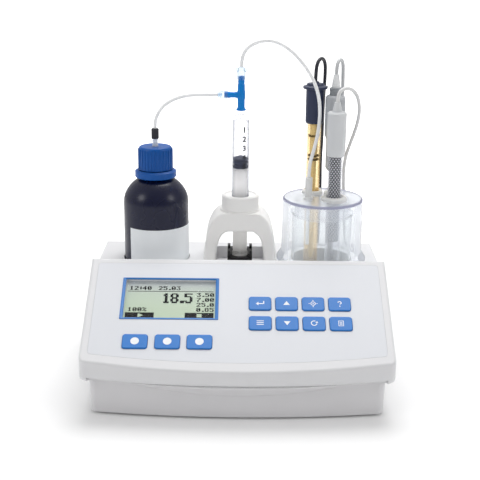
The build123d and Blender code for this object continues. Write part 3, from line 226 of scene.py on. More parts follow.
def turned(outline, place=None, steps=64, ease=0.35):
    """Mesh turned from an outline of (radius, height) points; one that starts and ends on the axis is solid,
    any other is a closed ring."""
    closed = outline[0][0] > 0 or outline[-1][0] > 0
    profile = eased(outline, ease, closed) if ease else outline
    vertices, faces = [], []
    for i in range(steps):
        c, s = math.cos(2 * math.pi * i / steps), math.sin(2 * math.pi * i / steps)
        vertices += [(r * c, r * s, z) for r, z in profile]
    n = len(profile)
    last = n if closed else n - 1
    for i in range(steps):
        a, b = i * n, (i + 1) % steps * n
        for k in range(last):
            m = (k + 1) % n
            faces.append([a + k, b + k, b + m, a + m])
    return mesh_of("turned", vertices, faces, place)


# ---------------------------------------------------------------- display
# A clear lens sits in the film's blue printed border, over a plain reflective LCD of pale green. The readings
# are square dots: only numbers, a rule, and two dark boxes for what the keys under them do.
WINDOW = (-52.7, 58.8)
GLASS = (70.4, 38.0)


def rounded(width, depth, radius, cuts=5):
    """Outline of a rectangle with rounded corners, as (x, y) points."""
    points = []
    for k, (sx, sy) in enumerate(((1, 1), (-1, 1), (-1, -1), (1, -1))):
        for i in range(cuts + 1):
            angle = math.pi / 2 * (k + i / cuts)
            points.append((sx * (width / 2 - radius) + radius * math.cos(angle),
                           sy * (depth / 2 - radius) + radius * math.sin(angle)))
    return points


def stacked(rings, place=None, closed=False):
    """Mesh through a stack of rounded rectangles (width, depth, radius, height). It's capped at both ends,
    or joined up to a frame if `closed`."""
    vertices, faces = [], []
    for width, depth, radius, height in rings:
        vertices += [(x, y, height) for x, y in rounded(width, depth, radius)]
    n = len(vertices) // len(rings)
    m = len(rings)
    for k in range(m if closed else m - 1):
        a, b = k * n, (k + 1) % m * n
        faces += [[a + i, a + (i + 1) % n, b + (i + 1) % n, b + i] for i in range(n)]
    if not closed:
        faces += [list(range(n))[::-1], list(range((m - 1) * n, m * n))]
    return mesh_of("stacked", vertices, faces, place)


# A plain blue line with the film's own gloss.
border_blue = moulded("blue screen print on film", "2C78C4", 0.36, 0.7, 0.02, 0.05)
gw, gh = GLASS
piece("display_border", stacked(
    [(gw + 5.1, gh + 2.7, 0.6, -0.6), (gw + 5.1, gh + 2.7, 0.6, 0.3), (gw + 4.7, gh + 2.3, 0.5, 0.5),
     (gw + 0.4, gh + 0.4, 0.4, 0.5), (gw, gh, 0.3, 0.35), (gw, gh, 0.3, -0.6)],
    on_slope(*WINDOW), closed=True), border_blue, "base", ["display_window"])


def clear(name, shade, tint, rough, body, edge, speck, bend=None):
    """Clear plastic or glass. What is behind shows through in `tint`; the wall adds its own shade and gloss, by
    `body` where it is seen square on and by `edge` along its sides. Its haze drifts at a pitch of `speck` mm.
    One with a `bend`, its IOR, refracts what is behind it too."""
    material, tree = new_material(name)
    place = add(tree, "ShaderNodeTexCoord").outputs["Object"]
    cloud = add(tree, "ShaderNodeTexNoise", {"Vector": place, "Scale": 1 / (speck * MM), "Detail": 2.0})
    haze = add(tree, "ShaderNodeMapRange", {
        "Value": cloud.outputs["Fac"], "From Min": 0.3, "From Max": 0.7, "To Min": rough * 0.7, "To Max": rough * 1.4})
    side = add(tree, "ShaderNodeLayerWeight", {"Blend": 0.3})
    wall = add(tree, "ShaderNodeMapRange", {
        "Value": side.outputs["Facing"], "From Min": 0.1, "From Max": 0.95, "To Min": body, "To Max": edge})
    solid = add(tree, "ShaderNodeBsdfPrincipled", {
        "Base Color": linear(shade), "Roughness": haze.outputs["Result"], "IOR": 1.5})
    glow = add(tree, "ShaderNodeBsdfTranslucent", {"Color": linear(shade)})
    milk = add(tree, "ShaderNodeMixShader", {0: 0.5, 1: solid.outputs["BSDF"], 2: glow.outputs[0]})
    through = add(tree, "ShaderNodeBsdfTransparent", {"Color": linear(tint)})
    ray = add(tree, "ShaderNodeLightPath")
    lamplight = worked(tree, "MAXIMUM", ray.outputs["Is Shadow Ray"], ray.outputs["Is Diffuse Ray"])
    share = worked(tree, "MULTIPLY", wall.outputs["Result"], worked(tree, "SUBTRACT", 1.0, lamplight))
    if bend:
        lens = add(tree, "ShaderNodeBsdfPrincipled", {
            "Base Color": linear(tint), "Roughness": haze.outputs["Result"], "IOR": bend, "Transmission Weight": 1.0})
        through = add(tree, "ShaderNodeMixShader", {
            0: ray.outputs["Is Shadow Ray"], 1: lens.outputs["BSDF"], 2: through.outputs[0]})
    both = add(tree, "ShaderNodeMixShader", {0: share, 1: through.outputs[0], 2: milk.outputs[0]})
    add(tree, "ShaderNodeOutputMaterial", {"Surface": both.outputs[0]})
    return material


# Hardly more than a faint sheen over the readings.
lens_clear = clear("hard-coated polycarbonate lens", "F4F6F6", "FFFFFF", 0.08, 0.02, 0.08, 9.0)
piece("display_lens", stacked(
    [(gw - 0.1, gh - 0.1, 0.3, -0.6), (gw - 0.1, gh - 0.1, 0.3, 0.2), (gw - 0.5, gh - 0.5, 0.3, 0.3)],
    on_slope(*WINDOW)), lens_clear, "base")

DOT = 0.54
# Pale green with a painted shade that greys it toward its top edge, and a faint grain at the pitch of the dots.
lcd_green, tree = new_material("reflective LCD, pale green")
place = add(tree, "ShaderNodeTexCoord").outputs["Object"]
axes = add(tree, "ShaderNodeSeparateXYZ", {"Vector": place})
# Painted shade: this ramp greys the green toward the LCD's top edge.
painted_shade_up_slope = add(tree, "ShaderNodeMapRange", {"Value": axes.outputs["Z"], "From Min": 0.0655, "From Max": 0.0855})
cells = add(tree, "ShaderNodeTexVoronoi", {"Vector": place, "Scale": 1 / (DOT * MM)})
tone = add(tree, "ShaderNodeValToRGB", {"Fac": painted_shade_up_slope.outputs["Result"]})
for stop, code in ((0.0, "BDCFB2"), (0.62, "BBCAB8"), (0.86, "B5BDBC"), (1.0, "A6ABB4")):
    mark = tone.color_ramp.elements.new(stop) if 0 < stop < 1 else tone.color_ramp.elements[-1 if stop else 0]
    mark.color = linear(code)
mesh_depth = add(tree, "ShaderNodeBump", {"Strength": 0.1, "Distance": 0.02 * MM, "Height": cells.outputs["Distance"]})
surface = add(tree, "ShaderNodeBsdfPrincipled", {
    "Base Color": tone.outputs["Color"], "Roughness": 0.4, "Normal": mesh_depth.outputs["Normal"]})
add(tree, "ShaderNodeOutputMaterial", {"Surface": surface.outputs["BSDF"]})
dress("lcd_module", lcd_green)

DIGITS = {
    "0": "0E11131519110E", "1": "040C040404040E", "2": "0E11010204081F", "3": "1F02040201110E", "4": "02060A121F0202",
    "5": "1F101E0101110E", "6": "0608101E11110E", "7": "1F010204080808", "8": "0E11110E11110E", "9": "0E11110F01020C",
    ".": "00000000000C0C", ":": "000C0C000C0C00", "%": "18190204081303"}


def lit(text, column, row, size=1, tall=1.0, bold=0):
    """Dots of a line of figures whose top left dot is given. Each figure is 5 by 7 dots, stretched by size and tall."""
    dots = set()
    for mark in text:
        code = DIGITS[mark]
        for y in range(7):
            bits = int(code[2 * y : 2 * y + 2], 16)
            for x in range(5):
                if bits >> (4 - x) & 1:
                    dots |= {(column + size * x + i, row + j) for i in range(size + bold)
                             for j in range(int(y * tall), int((y + 1) * tall))}
        column += size * (4 if mark in ".:" else 6) + bold % 2
    return dots


dots = lit("18.5", 52, 19, size=2, tall=2.6, bold=2)
for text, column, row in (("12:40", 4, 6), ("25.03", 46, 6), ("3.50", 102, 18), ("7.00", 102, 27), ("25.0", 102, 36),
                          ("0.85", 102, 45), ("100%", 4, 45)):
    dots |= lit(text, column, row, bold=1)
dots |= {(x, 15) for x in range(2, 126)}
left_box = {(x, y) for x in range(1, 42) for y in range(54, 64)}
left_box -= {(x, y) for y in range(56, 62) for x in range(19, 20 + min(y - 55, 62 - y) * 2)}
right_box = {(x, y) for x in range(86, 127) for y in range(54, 64)}
right_box -= {(x, y) for y in range(56, 62) for x in range(103, 110)}
dots |= left_box | right_box


def grown(tree, name, mesh, inputs):
    """Plain mesh that a geometry tree makes from a mesh, with the tree's named inputs given."""
    seed = bpy.data.objects.new(name, mesh)
    bpy.context.scene.collection.objects.link(seed)
    modifier = seed.modifiers.new("grow", "NODES")
    modifier.node_group = tree
    for item in tree.interface.items_tree:
        if item.in_out == "INPUT" and item.name in inputs:
            modifier[item.identifier] = inputs[item.name]
    bpy.context.view_layer.update()
    made = bpy.data.meshes.new_from_object(seed.evaluated_get(bpy.context.evaluated_depsgraph_get()))
    seed.modifiers.remove(modifier)
    bpy.data.objects.remove(seed)
    return made


def new_tree(name, inputs):
    tree = bpy.data.node_groups.new(name, "GeometryNodeTree")
    for label, kind in inputs:
        tree.interface.new_socket(label, in_out="INPUT", socket_type="NodeSocket" + kind)
    tree.interface.new_socket("Geometry", in_out="OUTPUT", socket_type="NodeSocketGeometry")
    return tree, add(tree, "NodeGroupInput").outputs


dot_tree, given = new_tree("square dots", [("Geometry", "Geometry"), ("Side", "Float"), ("Finish", "Material")])
square = add(dot_tree, "GeometryNodeMeshGrid", {
    "Size X": given["Side"], "Size Y": given["Side"], "Vertices X": 2, "Vertices Y": 2})
spread = add(dot_tree, "GeometryNodeInstanceOnPoints", {
    "Points": given["Geometry"], "Instance": square.outputs["Mesh"]})
solid = add(dot_tree, "GeometryNodeRealizeInstances", {"Geometry": spread.outputs["Instances"]})
finish = add(dot_tree, "GeometryNodeSetMaterial", {"Geometry": solid.outputs["Geometry"], "Material": given["Finish"]})
add(dot_tree, "NodeGroupOutput", {"Geometry": finish.outputs["Geometry"]})

# Matt, so that the figures stay dark under the lens.
lcd_black = moulded("switched LCD dots, near black", "06070A", 0.5, 0.5, 0.01, **{"Specular IOR Level": 0.1})
centres = bpy.data.meshes.new("dot centres")
centres.from_pydata([((x - 63.5) * DOT, (31.5 - y) * DOT, 0) for x, y in sorted(dots)], [], [])
readings = grown(dot_tree, "readings", centres, {"Side": DOT * 1.04, "Finish": lcd_black})
readings.transform(Matrix.Scale(MM, 4) @ on_slope(*WINDOW, -2.57))
piece("lcd_readings", readings, lcd_black, "base")

# ---------------------------------------------------------------- keys
# Eleven keys of blue film-faced ABS, each with a plain white mark, stand a millimetre out of the film.
# Mid blue with a slight sheen; the marks are flat white.
key_blue = moulded("embossed key, blue", "2279CC", 0.38, 0.8, 0.03, 0.05)
white_print = moulded("white screen print", "F4F6F8", 0.4, 0.5, 0.01)


def strip(points, width):
    """Flat strip of that width along (x, y) points, as vertices and faces."""
    left, right = [], []
    for i, point in enumerate(points):
        here = Vector(point)
        ahead = (Vector(points[min(i + 1, len(points) - 1)]) - here).normalized() if i < len(points) - 1 else None
        behind = (here - Vector(points[i - 1])).normalized() if i else None
        along = ((ahead or behind) + (behind or ahead)).normalized()
        side = Vector((-along.y, along.x)) * width / 2 / max(0.5, along.dot(ahead or behind))
        left.append((*(here + side), 0))
        right.append((*(here - side), 0))
    n = len(points)
    return left + right, [[i, n + i, n + i + 1, i + 1] for i in range(n - 1)]


def arc(radius, start, end, cuts=20):
    return [(radius * math.cos(math.radians(start + (end - start) * i / cuts)),
             radius * math.sin(math.radians(start + (end - start) * i / cuts))) for i in range(cuts + 1)]


def bar(x0, y0, x1, y1, width=0.7):
    return strip([(x0, y0), (x1, y1)], width)


def area(points):
    return [(x, y, 0) for x, y in points], [list(range(len(points)))]


def raised(shape, lift):
    vertices, faces = shape
    return [(x, y + lift, z) for x, y, z in vertices], faces


def merged(shapes):
    """Vertices and faces of several shapes as one."""
    vertices, faces = [], []
    for some_vertices, some_faces in shapes:
        faces += [[i + len(vertices) for i in face] for face in some_faces]
        vertices += some_vertices
    return vertices, faces


spot = area(arc(0.5, 0, 337.5, 15))
marks = {
    "key_escape": [strip([(2.8, 2.0), (2.8, -0.5), (-1.4, -0.5)], 0.8),
                   area([(-3.3, -0.5), (-1.2, -2.2), (-1.2, 1.2)])],
    "key_up": [area([(-2.5, -1.6), (2.5, -1.6), (0, 2.2)])],
    "key_calibrate": [strip(arc(1.7, 0, 360, 32), 0.6)] + [
        bar(2.6 * c, 2.6 * s, 3.4 * c, 3.4 * s) for c, s in ((1, 0), (0, 1), (-1, 0), (0, -1))] + [spot],
    "key_help": [raised(strip(arc(1.25, 170, -60, 16) + [(0, -1.3)], 0.75), 0.9), raised(spot, -2.3)],
    "key_menu": [bar(-2.7, 1.7, 2.7, 1.7), bar(-2.7, 0, 2.7, 0), bar(-2.7, -1.7, 2.7, -1.7)],
    "key_down": [area([(2.5, 1.6), (-2.5, 1.6), (0, -2.2)])],
    "key_stir": [strip(arc(2.1, 60, 350, 24), 0.7), area([(0.92, 0.15), (3.22, 0.15), (2.3, 1.9)])],
    "key_log": [strip([(-1.8, -2.3), (-1.8, 2.3), (1.8, 2.3), (1.8, -2.3), (-1.8, -2.3), (-1.8, -2.0)], 0.5),
                bar(-1.0, 1.0, 1.0, 1.0, 0.5), bar(-1.0, 0.0, 1.0, 0.0, 0.5), bar(-1.0, -1.0, 1.0, -1.0, 0.5)],
}
places = {name: (17.0 + 20.45 * (i % 4), 54.2 if i < 4 else 35.4) for i, name in enumerate(marks)}
for name, x in (("key_soft_left", -76.8), ("key_soft_middle", -52.5), ("key_soft_right", -28.5)):
    marks[name] = [area(arc(3.2, 0, 352.5, 47))]
    places[name] = (x, 17.4)
for name, shapes in marks.items():
    dress(name, key_blue)
    x, up = places[name]
    mark = mesh_of("mark", *merged(shapes), on_slope(x, up, 1.13), smooth=False)
    piece("mark_" + name, mark, white_print, name)

# ---------------------------------------------------------------- reagent bottle
# A blow-moulded bottle of near-black polyethylene with a plain paper label. Its blue cap has moulded grips,
# and a torn-off ring of the same blue stays under it.
# Near black with a blue cast, and soft highlights on its shoulders.
dress("reagent_bottle", moulded(
    "blow-moulded HDPE, blue-black", "0B1030", 0.27, 14.0, 0.002, 0.06, **{"Specular IOR Level": 0.4}))
# Deep blue, with painted shade darkening the joints between the grips.
cap_blue = moulded(
    "moulded polypropylene, blue", "0556A8", 0.36, 0.9, 0.02, 0.08, seam=1.0, **{"Specular IOR Level": 0.3})
dress("tamper_ring", cap_blue)

rib_tree, given = new_tree("ribs round an axis", [
    ("Geometry", "Geometry"), ("Around", "Int"), ("Rows", "Int"), ("Radius", "Float"), ("Rise", "Float"),
    ("Start", "Float"), ("Sweep", "Float"), ("Finish", "Material")])
cloud = add(rib_tree, "GeometryNodePoints", {"Count": worked(rib_tree, "MULTIPLY", given["Around"], given["Rows"])})
number = add(rib_tree, "GeometryNodeInputIndex").outputs[0]
turn = worked(rib_tree, "MODULO", number, given["Around"])
row = worked(rib_tree, "FLOOR", worked(rib_tree, "DIVIDE", number, given["Around"]))
share = worked(rib_tree, "DIVIDE", turn, given["Around"])
angle = worked(rib_tree, "MULTIPLY_ADD", share, given["Sweep"], given["Start"])
spot = add(rib_tree, "ShaderNodeCombineXYZ", {
    "X": worked(rib_tree, "MULTIPLY", worked(rib_tree, "COSINE", angle), given["Radius"]),
    "Y": worked(rib_tree, "MULTIPLY", worked(rib_tree, "SINE", angle), given["Radius"]),
    "Z": worked(rib_tree, "MULTIPLY", row, given["Rise"])})
heading = add(rib_tree, "ShaderNodeCombineXYZ", {"Z": angle})
there = add(rib_tree, "GeometryNodeSetPosition", {"Geometry": cloud.outputs[0], "Position": spot.outputs[0]})
ribs = add(rib_tree, "GeometryNodeInstanceOnPoints", {
    "Points": there.outputs[0], "Instance": given["Geometry"], "Rotation": heading.outputs[0]})
solid = add(rib_tree, "GeometryNodeRealizeInstances", {"Geometry": ribs.outputs["Instances"]})
finish = add(rib_tree, "GeometryNodeSetMaterial", {"Geometry": solid.outputs["Geometry"], "Material": given["Finish"]})
add(rib_tree, "NodeGroupOutput", {"Geometry": finish.outputs["Geometry"]})


def ribbed(unit, around, radius, place, finish, rows=1, rise=0.0, start=0.0, sweep=2 * math.pi):
    """Copies of a unit mesh round an axis: its +X side points outwards. Sizes are in mm."""
    made = grown(rib_tree, "ribs", unit, {
        "Around": around, "Rows": rows, "Radius": float(radius) * MM, "Rise": float(rise) * MM, "Start": start,
        "Sweep": sweep, "Finish": finish})
    made.transform(Matrix.Translation(Vector(place) * MM))
    return made


def joined(name, parts):
    """One mesh of several."""
    work = bmesh.new()
    for part in parts:
        work.from_mesh(part)
    mesh = bpy.data.meshes.new(name)
    work.to_mesh(mesh)
    work.free()
    return mesh


def at(x, y, z=0.0):
    return Matrix.Translation((x, y, z))


BOTTLE = (-69.3, 38.2)
cap_shell = turned([
    (12.2, 161.5), (14.0, 161.5), (14.0, 163.0), (13.9, 178.6), (13.2, 180.1), (12.2, 180.6), (2.45, 180.6),
    (2.45, 176.5), (12.2, 176.5)], at(*BOTTLE), ease=0.5)
rib = stacked([(1.0, 0.5, 0.2, 0.0), (1.3, 1.1, 0.35, 0.4), (1.3, 1.1, 0.35, 15.4), (0.9, 0.5, 0.2, 16.6)])
cap_ribs = ribbed(rib, 32, 13.75, (*BOTTLE, 162.3), cap_blue)
piece("grip_cap", joined("grip cap", [cap_shell, cap_ribs]), cap_blue, "bottle", ["bottle_cap"])

# Plain and cool white, matt beside the bottle.
label_paper, tree = new_material("coated label paper, grey")
place = add(tree, "ShaderNodeTexCoord").outputs["Object"]
fibre = add(tree, "ShaderNodeTexNoise", {"Vector": place, "Scale": 900.0, "Detail": 3.0})
patch = add(tree, "ShaderNodeTexNoise", {"Vector": place, "Scale": 28.0, "Detail": 2.0})
tone = add(tree, "ShaderNodeValToRGB", {"Fac": patch.outputs["Fac"]})
tone.color_ramp.elements[0].position, tone.color_ramp.elements[1].position = 0.3, 0.7
tone.color_ramp.elements[0].color, tone.color_ramp.elements[1].color = linear("EEF2F5"), linear("F6F9FB")
relief = add(tree, "ShaderNodeBump", {"Strength": 0.15, "Distance": 0.02 * MM, "Height": fibre.outputs["Fac"]})
surface = add(tree, "ShaderNodeBsdfPrincipled", {
    "Base Color": tone.outputs["Color"], "Roughness": 0.5, "Normal": relief.outputs["Normal"]})
add(tree, "ShaderNodeOutputMaterial", {"Surface": surface.outputs["BSDF"]})
BOTTLE_WALL = 27.05
paper = [(a, z, r) for a in range(-47, 176, 3) for z, r in ((68.3, 0), (68.3, 0.12), (115.7, 0.12), (115.7, 0))]
vertices = [((BOTTLE_WALL + r) * math.sin(math.radians(a)), -(BOTTLE_WALL + r) * math.cos(math.radians(a)), z)
            for a, z, r in paper]
faces = [[i, i + 4, (i + 1) % 4 + i // 4 * 4 + 4, (i + 1) % 4 + i // 4 * 4] for i in range(len(vertices) - 4)]
faces += [[0, 1, 2, 3], [len(vertices) - 4 + i for i in (3, 2, 1, 0)]]
piece("paper_label", mesh_of("label", vertices, faces, at(*BOTTLE)), label_paper, "bottle",
      ["bottle_label"])
dress("dip_tube", clear("extruded polyethylene tube, milky", "EEF0F4", "F6F8FA", 0.3, 0.55, 0.9, 6.0))
dress("tube_sleeve", moulded("silicone sleeve, dark", "22232B", 0.5, 0.6, 0.02, 0.15))

# ---------------------------------------------------------------- syringe pump
# An arch moulded in warm white ABS holds the syringe by its flange under a screwed collar. A black fork under
# it carries the plunger's foot up and down on the lead screw.
# Warmer and whiter than the housing.
arch_plastic = moulded("moulded ABS, warm white", "F9F8F6", 0.4, 1.1, 0.03)
for name in ("pump_arch", "pump_collar"):
    dress(name, arch_plastic)
dress("drive_fork", moulded("glass-filled nylon, black", "1D1D20", 0.5, 0.5, 0.04, 0.2))
# Milky: lamplight passes it and a little of what is behind shows through, so it stays pale.
dress("plunger_rod", clear("moulded polypropylene, milky white", "FCFBF8", "FFFFFF", 0.34, 0.8, 0.92, 6.0))

PUMP = (1.0, 38.2)
# Clear where it is seen square on, with grey outlines down its sides.
barrel_clear = clear("moulded polypropylene, clear", "B2B7BF", "FDFDFE", 0.2, 0.08, 0.7, 5.0)
piece("clear_barrel", turned([
    (6.5, 128.8), (11.0, 128.8), (11.0, 130.8), (7.1, 130.8), (7.1, 205.2), (5.6, 206.8), (2.2, 206.8), (1.95, 213.4),
    (1.0, 213.4), (1.0, 204.5), (6.5, 202.1)], at(*PUMP)), barrel_clear, "base", ["syringe_barrel"])

scale_ink = moulded("scale printing ink, black", "24262B", 0.5, 0.4, 0.01)


def band(radius, start, end, low, high, cuts=8):
    """Strip of a cylinder about the pump's axis, between two angles in degrees from its front."""
    vertices, faces = [], []
    for i in range(cuts + 1):
        a = math.radians(start + (end - start) * i / cuts)
        vertices += [(radius * math.sin(a), -radius * math.cos(a), z) for z in (low, high)]
        if i:
            faces.append([2 * i - 2, 2 * i, 2 * i + 1, 2 * i - 1])
    return vertices, faces


def figure(text, height, radius, angle, z):
    """A printed figure, bent round the barrel at that angle in degrees from its front."""
    curve = bpy.data.curves.new("figure", "FONT")
    curve.body, curve.size, curve.align_x, curve.align_y = text, height / 0.7, "CENTER", "CENTER"
    curve.offset = height * 0.06
    writing = bpy.data.objects.new("figure", curve)
    bpy.context.scene.collection.objects.link(writing)
    bpy.context.view_layer.update()
    mesh = bpy.data.meshes.new_from_object(writing.evaluated_get(bpy.context.evaluated_depsgraph_get()))
    bpy.data.objects.remove(writing)
    vertices = []
    for v in mesh.vertices:
        a = math.radians(angle) + v.co.x / radius
        vertices.append((radius * math.sin(a), -radius * math.cos(a), z + v.co.y))
    return vertices, [list(p.vertices) for p in mesh.polygons]


ZERO, MILLILITRE = 202.9, 7.55
TICK_SIDE, TICK_HALF = 86, 0.19
prints = []
for i in range(26):
    z = ZERO - i * MILLILITRE / 5
    reach = 34 if i % 5 == 0 else 20
    prints.append(band(7.13, TICK_SIDE - reach, TICK_SIDE, z - TICK_HALF, z + TICK_HALF))
    prints.append(band(7.13, -TICK_SIDE, -TICK_SIDE + reach * 0.8, z - TICK_HALF, z + TICK_HALF))
prints += [figure(str(n), 4.3, 7.14, 24, ZERO - n * MILLILITRE) for n in range(1, 6)]
vertices, faces = merged(prints)
scale = bpy.data.meshes.new("scale")
scale.from_pydata(vertices, [], faces)
scale.transform(Matrix.Scale(MM, 4) @ at(*PUMP))
piece("syringe_scale", scale, scale_ink, "base")

# A dull dark blue band that marks the piston.
seal_rubber = moulded("moulded synthetic rubber, dark blue", "232B48", 0.5, 0.6, 0.02, 0.15)
piece("ridged_seal", turned([
    (0, 162.8), (5.9, 162.8), (6.42, 163.2), (6.42, 164.9), (5.6, 165.5), (5.6, 166.4), (6.42, 166.9), (6.42, 168.4),
    (5.6, 169.0), (5.6, 169.6), (6.42, 170.1), (6.42, 171.2), (6.0, 171.5), (0, 173.6)], at(*PUMP), ease=0.4),
    seal_rubber, "plunger", ["plunger_seal"])

# ---------------------------------------------------------------- valve
# A three-way valve of blue polycarbonate with two clear luer locks, one up to the dispensing line and one to
# the side for the reagent.


def sideways(unit=1.0):
    """Frame of the valve's side branch, whose z points to the bottle; unit is the length of a mm in it."""
    return Matrix(((0, 0, -1, PUMP[0] * unit), (1, 0, 0, PUMP[1] * unit), (0, -1, 0, 223.2 * unit), (0, 0, 0, 1)))


# Strong blue; the clear locks show as blue-grey outlines.
valve_blue = moulded("moulded polycarbonate, blue", "0084DA", 0.26, 0.9, 0.01, 0.05, **{"Specular IOR Level": 0.3})
piece("tee_valve", joined("tee valve", [
    turned([(2.3, 210.6), (3.9, 210.6), (4.0, 211.6), (3.2, 212.4), (2.95, 213.2), (2.95, 219.6), (3.25, 220.4),
            (3.25, 226.2), (2.95, 227.0), (2.9, 231.6), (2.5, 232.4), (2.75, 233.4), (2.75, 234.6), (2.2, 235.4),
            (2.1, 238.2), (0.9, 238.2), (0.9, 213.6), (2.2, 213.5)], at(*PUMP), steps=40),
    turned([(0, 1.0), (2.6, 1.0), (2.6, 4.2), (2.3, 4.9), (2.3, 8.6), (2.6, 9.2), (2.6, 10.6), (2.1, 11.2),
            (2.05, 13.6), (0, 13.6)], sideways(), steps=40)]),
    valve_blue, "base", ["valve_body"])
luer_clear = clear("moulded polycarbonate, clear", "A3B2C4", "F1F7FC", 0.15, 0.16, 0.75, 4.0)
wing = stacked([(2.2, 1.5, 0.4, 0.0), (2.4, 1.7, 0.5, 0.5), (2.4, 1.7, 0.5, 2.4), (1.8, 1.2, 0.4, 3.2)])
upper_lock = joined("upper lock", [
    turned([(2.8, 235.2), (3.4, 235.2), (3.4, 242.4), (2.6, 243.2), (2.5, 245.4), (0, 245.4), (0, 238.4), (2.8, 238.4)],
           at(*PUMP), steps=40),
    ribbed(wing, 2, 3.4, (*PUMP, 241.8), luer_clear)])
side_lock = joined("side lock", [
    turned([(2.7, 11.0), (3.3, 11.0), (3.3, 16.4), (2.6, 17.2), (2.5, 18.8), (0, 18.8), (0, 13.8), (2.7, 13.8)],
           steps=40),
    ribbed(wing, 2, 3.3, (0, 0, 15.4), luer_clear)])
side_lock.transform(sideways(MM))
piece("clear_luer_locks", joined("luer locks", [upper_lock, side_lock]), luer_clear, "base",
      ["luer_locks"])

# ---------------------------------------------------------------- electrode holder and beaker
# A turned and polished cup of clear acrylic stands upside down over the beaker. White bushings in its lid
# take the electrodes and the dispensing tip.
# Veils what stands in it a little, and more at its sides.
dress("electrode_holder", clear(
    "machined acrylic, faintly frosted", "E8EBF0", "FCFDFE", 0.14, 0.22, 0.5, 14.0, bend=1.03))
HOLDER = (69.8, 38.2)
# A ring on the lid's polished edge; its violet grey is painted shade and reflection of that edge, as the acrylic itself
# is clear.
piece("lid_edge", turned([
    (31.9, 138.62), (32.3, 138.66), (33.26, 137.7), (33.28, 136.5), (32.9, 136.4), (32.6, 137.4), (31.8, 138.3)],
    at(*HOLDER), ease=0.2),
      clear("polished acrylic edge, painted violet-grey shade", "B9BACB", "E8E8F2", 0.15, 0.6, 0.9, 8.0), "holder")
bushing_white = moulded("turned acetal, white", "F0F0EE", 0.4, 0.9, 0.02)
for name in ("holder_bushings", "dispensing_tip"):
    dress(name, bushing_white)
# Thin glass that only its rim and sides give away.
dress("beaker", clear("borosilicate glass", "E6ECEF", "FDFEFE", 0.03, 0.03, 0.35, 20.0, bend=1.06))
dress("stir_bar", moulded("moulded PTFE, white", "EDEDED", 0.5, 0.8, 0.02))

# ---------------------------------------------------------------- electrodes
# Reference: blue-black cap on an amber polyetherimide body, with a pale inner tube in it. Temperature: grey cap
# on a steel rod. Glass electrode: pale grey cap on a clear sleeve with a perforated guard in it.
dress("reference_cap", moulded("moulded ABS, blue-black", "263050", 0.38, 0.8, 0.02, 0.15))
# Amber down its sides, where the pale inner tube shows through the middle.
dress("reference_glass", clear("extruded polyetherimide, amber", "F6D490", "FFFAEE", 0.12, 0.10, 0.6, 7.0))
REFERENCE, GLASS_PROBE, THERMO = (61.8, 50.4), (78.2, 27.2), (78.2, 45.2)
amber_core = moulded("inner tube and gel, straw", "FFF2CE", 0.25, 2.5, 0.02, 0.12)
piece("reference_core", turned([
    (0, 82.0), (2.2, 82.0), (2.6, 86.0), (2.6, 172.0), (3.4, 175.0), (3.4, 206.0), (0, 206.0)],
    at(*REFERENCE), steps=32), amber_core, "holder")
ring_black = moulded("nitrile O-ring, black", "1A1A1D", 0.5, 0.5, 0.02)
piece("reference_rings", joined("rings", [
    turned([(3.5, z), (4.7, z), (4.7, z + 1.6), (3.5, z + 1.6)], at(*REFERENCE), steps=40, ease=0.7)
    for z in (187.4, 167.4, 170.6)]),
    ring_black, "holder")
# Plain grey, with the light caught along its flutes.
thermo_grey = moulded("moulded ABS, mid grey", "BFC2C6", 0.4, 0.9, 0.03, 0.06)
flute = stacked([(0.5, 0.7, 0.2, 0.0), (0.7, 0.9, 0.25, 0.4), (0.7, 0.9, 0.25, 27.6), (0.5, 0.7, 0.2, 28.0)])
piece("thermo_handle", joined("handle", [
    turned([(0, 160.0), (5.0, 160.0), (6.6, 162.5), (6.8, 186.5), (8.0, 189.5), (8.0, 221.2), (6.7, 222.7), (0, 222.7)],
           at(*THERMO)),
    ribbed(flute, 26, 7.85, (*THERMO, 191.0), thermo_grey)]),
    thermo_grey, "holder", ["thermo_probe_cap"])
piece("thermo_ring", turned([
    (2.0, 222.4), (5.1, 222.4), (5.1, 224.6), (4.8, 225.0), (4.8, 225.6), (5.1, 226.0), (5.1, 228.6), (3.6, 228.9),
    (2.0, 228.9)], at(*THERMO)),
      moulded("moulded ABS, ring", "94989D", 0.4, 0.9, 0.03, 0.06), "holder", ["thermo_probe_cap"])
relief_white = moulded("soft PVC strain relief, white", "F1F2F3", 0.45, 0.8, 0.02)
piece("thermo_relief", turned([
    (0, 228.6), (3.6, 228.6), (3.5, 231.0), (3.1, 231.4), (3.3, 232.2), (3.0, 235.0), (2.6, 235.6), (2.4, 239.5),
    (0, 239.5)], at(*THERMO)), relief_white, "holder", ["thermo_probe_cap"])
dress("thermo_probe_rod", bare_metal("ground stainless steel", "C0C0C2", 0.3, 0.6))
dress("ph_cap", moulded("moulded ABS, pale grey", "DCDEE0", 0.38, 0.9, 0.02))
sleeve_clear = clear("clear extruded polycarbonate", "EEF0F3", "FDFDFE", 0.12, 0.05, 0.5, 6.0)
piece("probe_sleeve", turned([
    (0, 74.0), (3.7, 74.7), (6.3, 78.2), (6.3, 182.0), (5.5, 182.0), (5.5, 78.6), (3.3, 75.9), (0, 75.3)],
    at(*GLASS_PROBE)), sleeve_clear, "holder", ["ph_sleeve"])
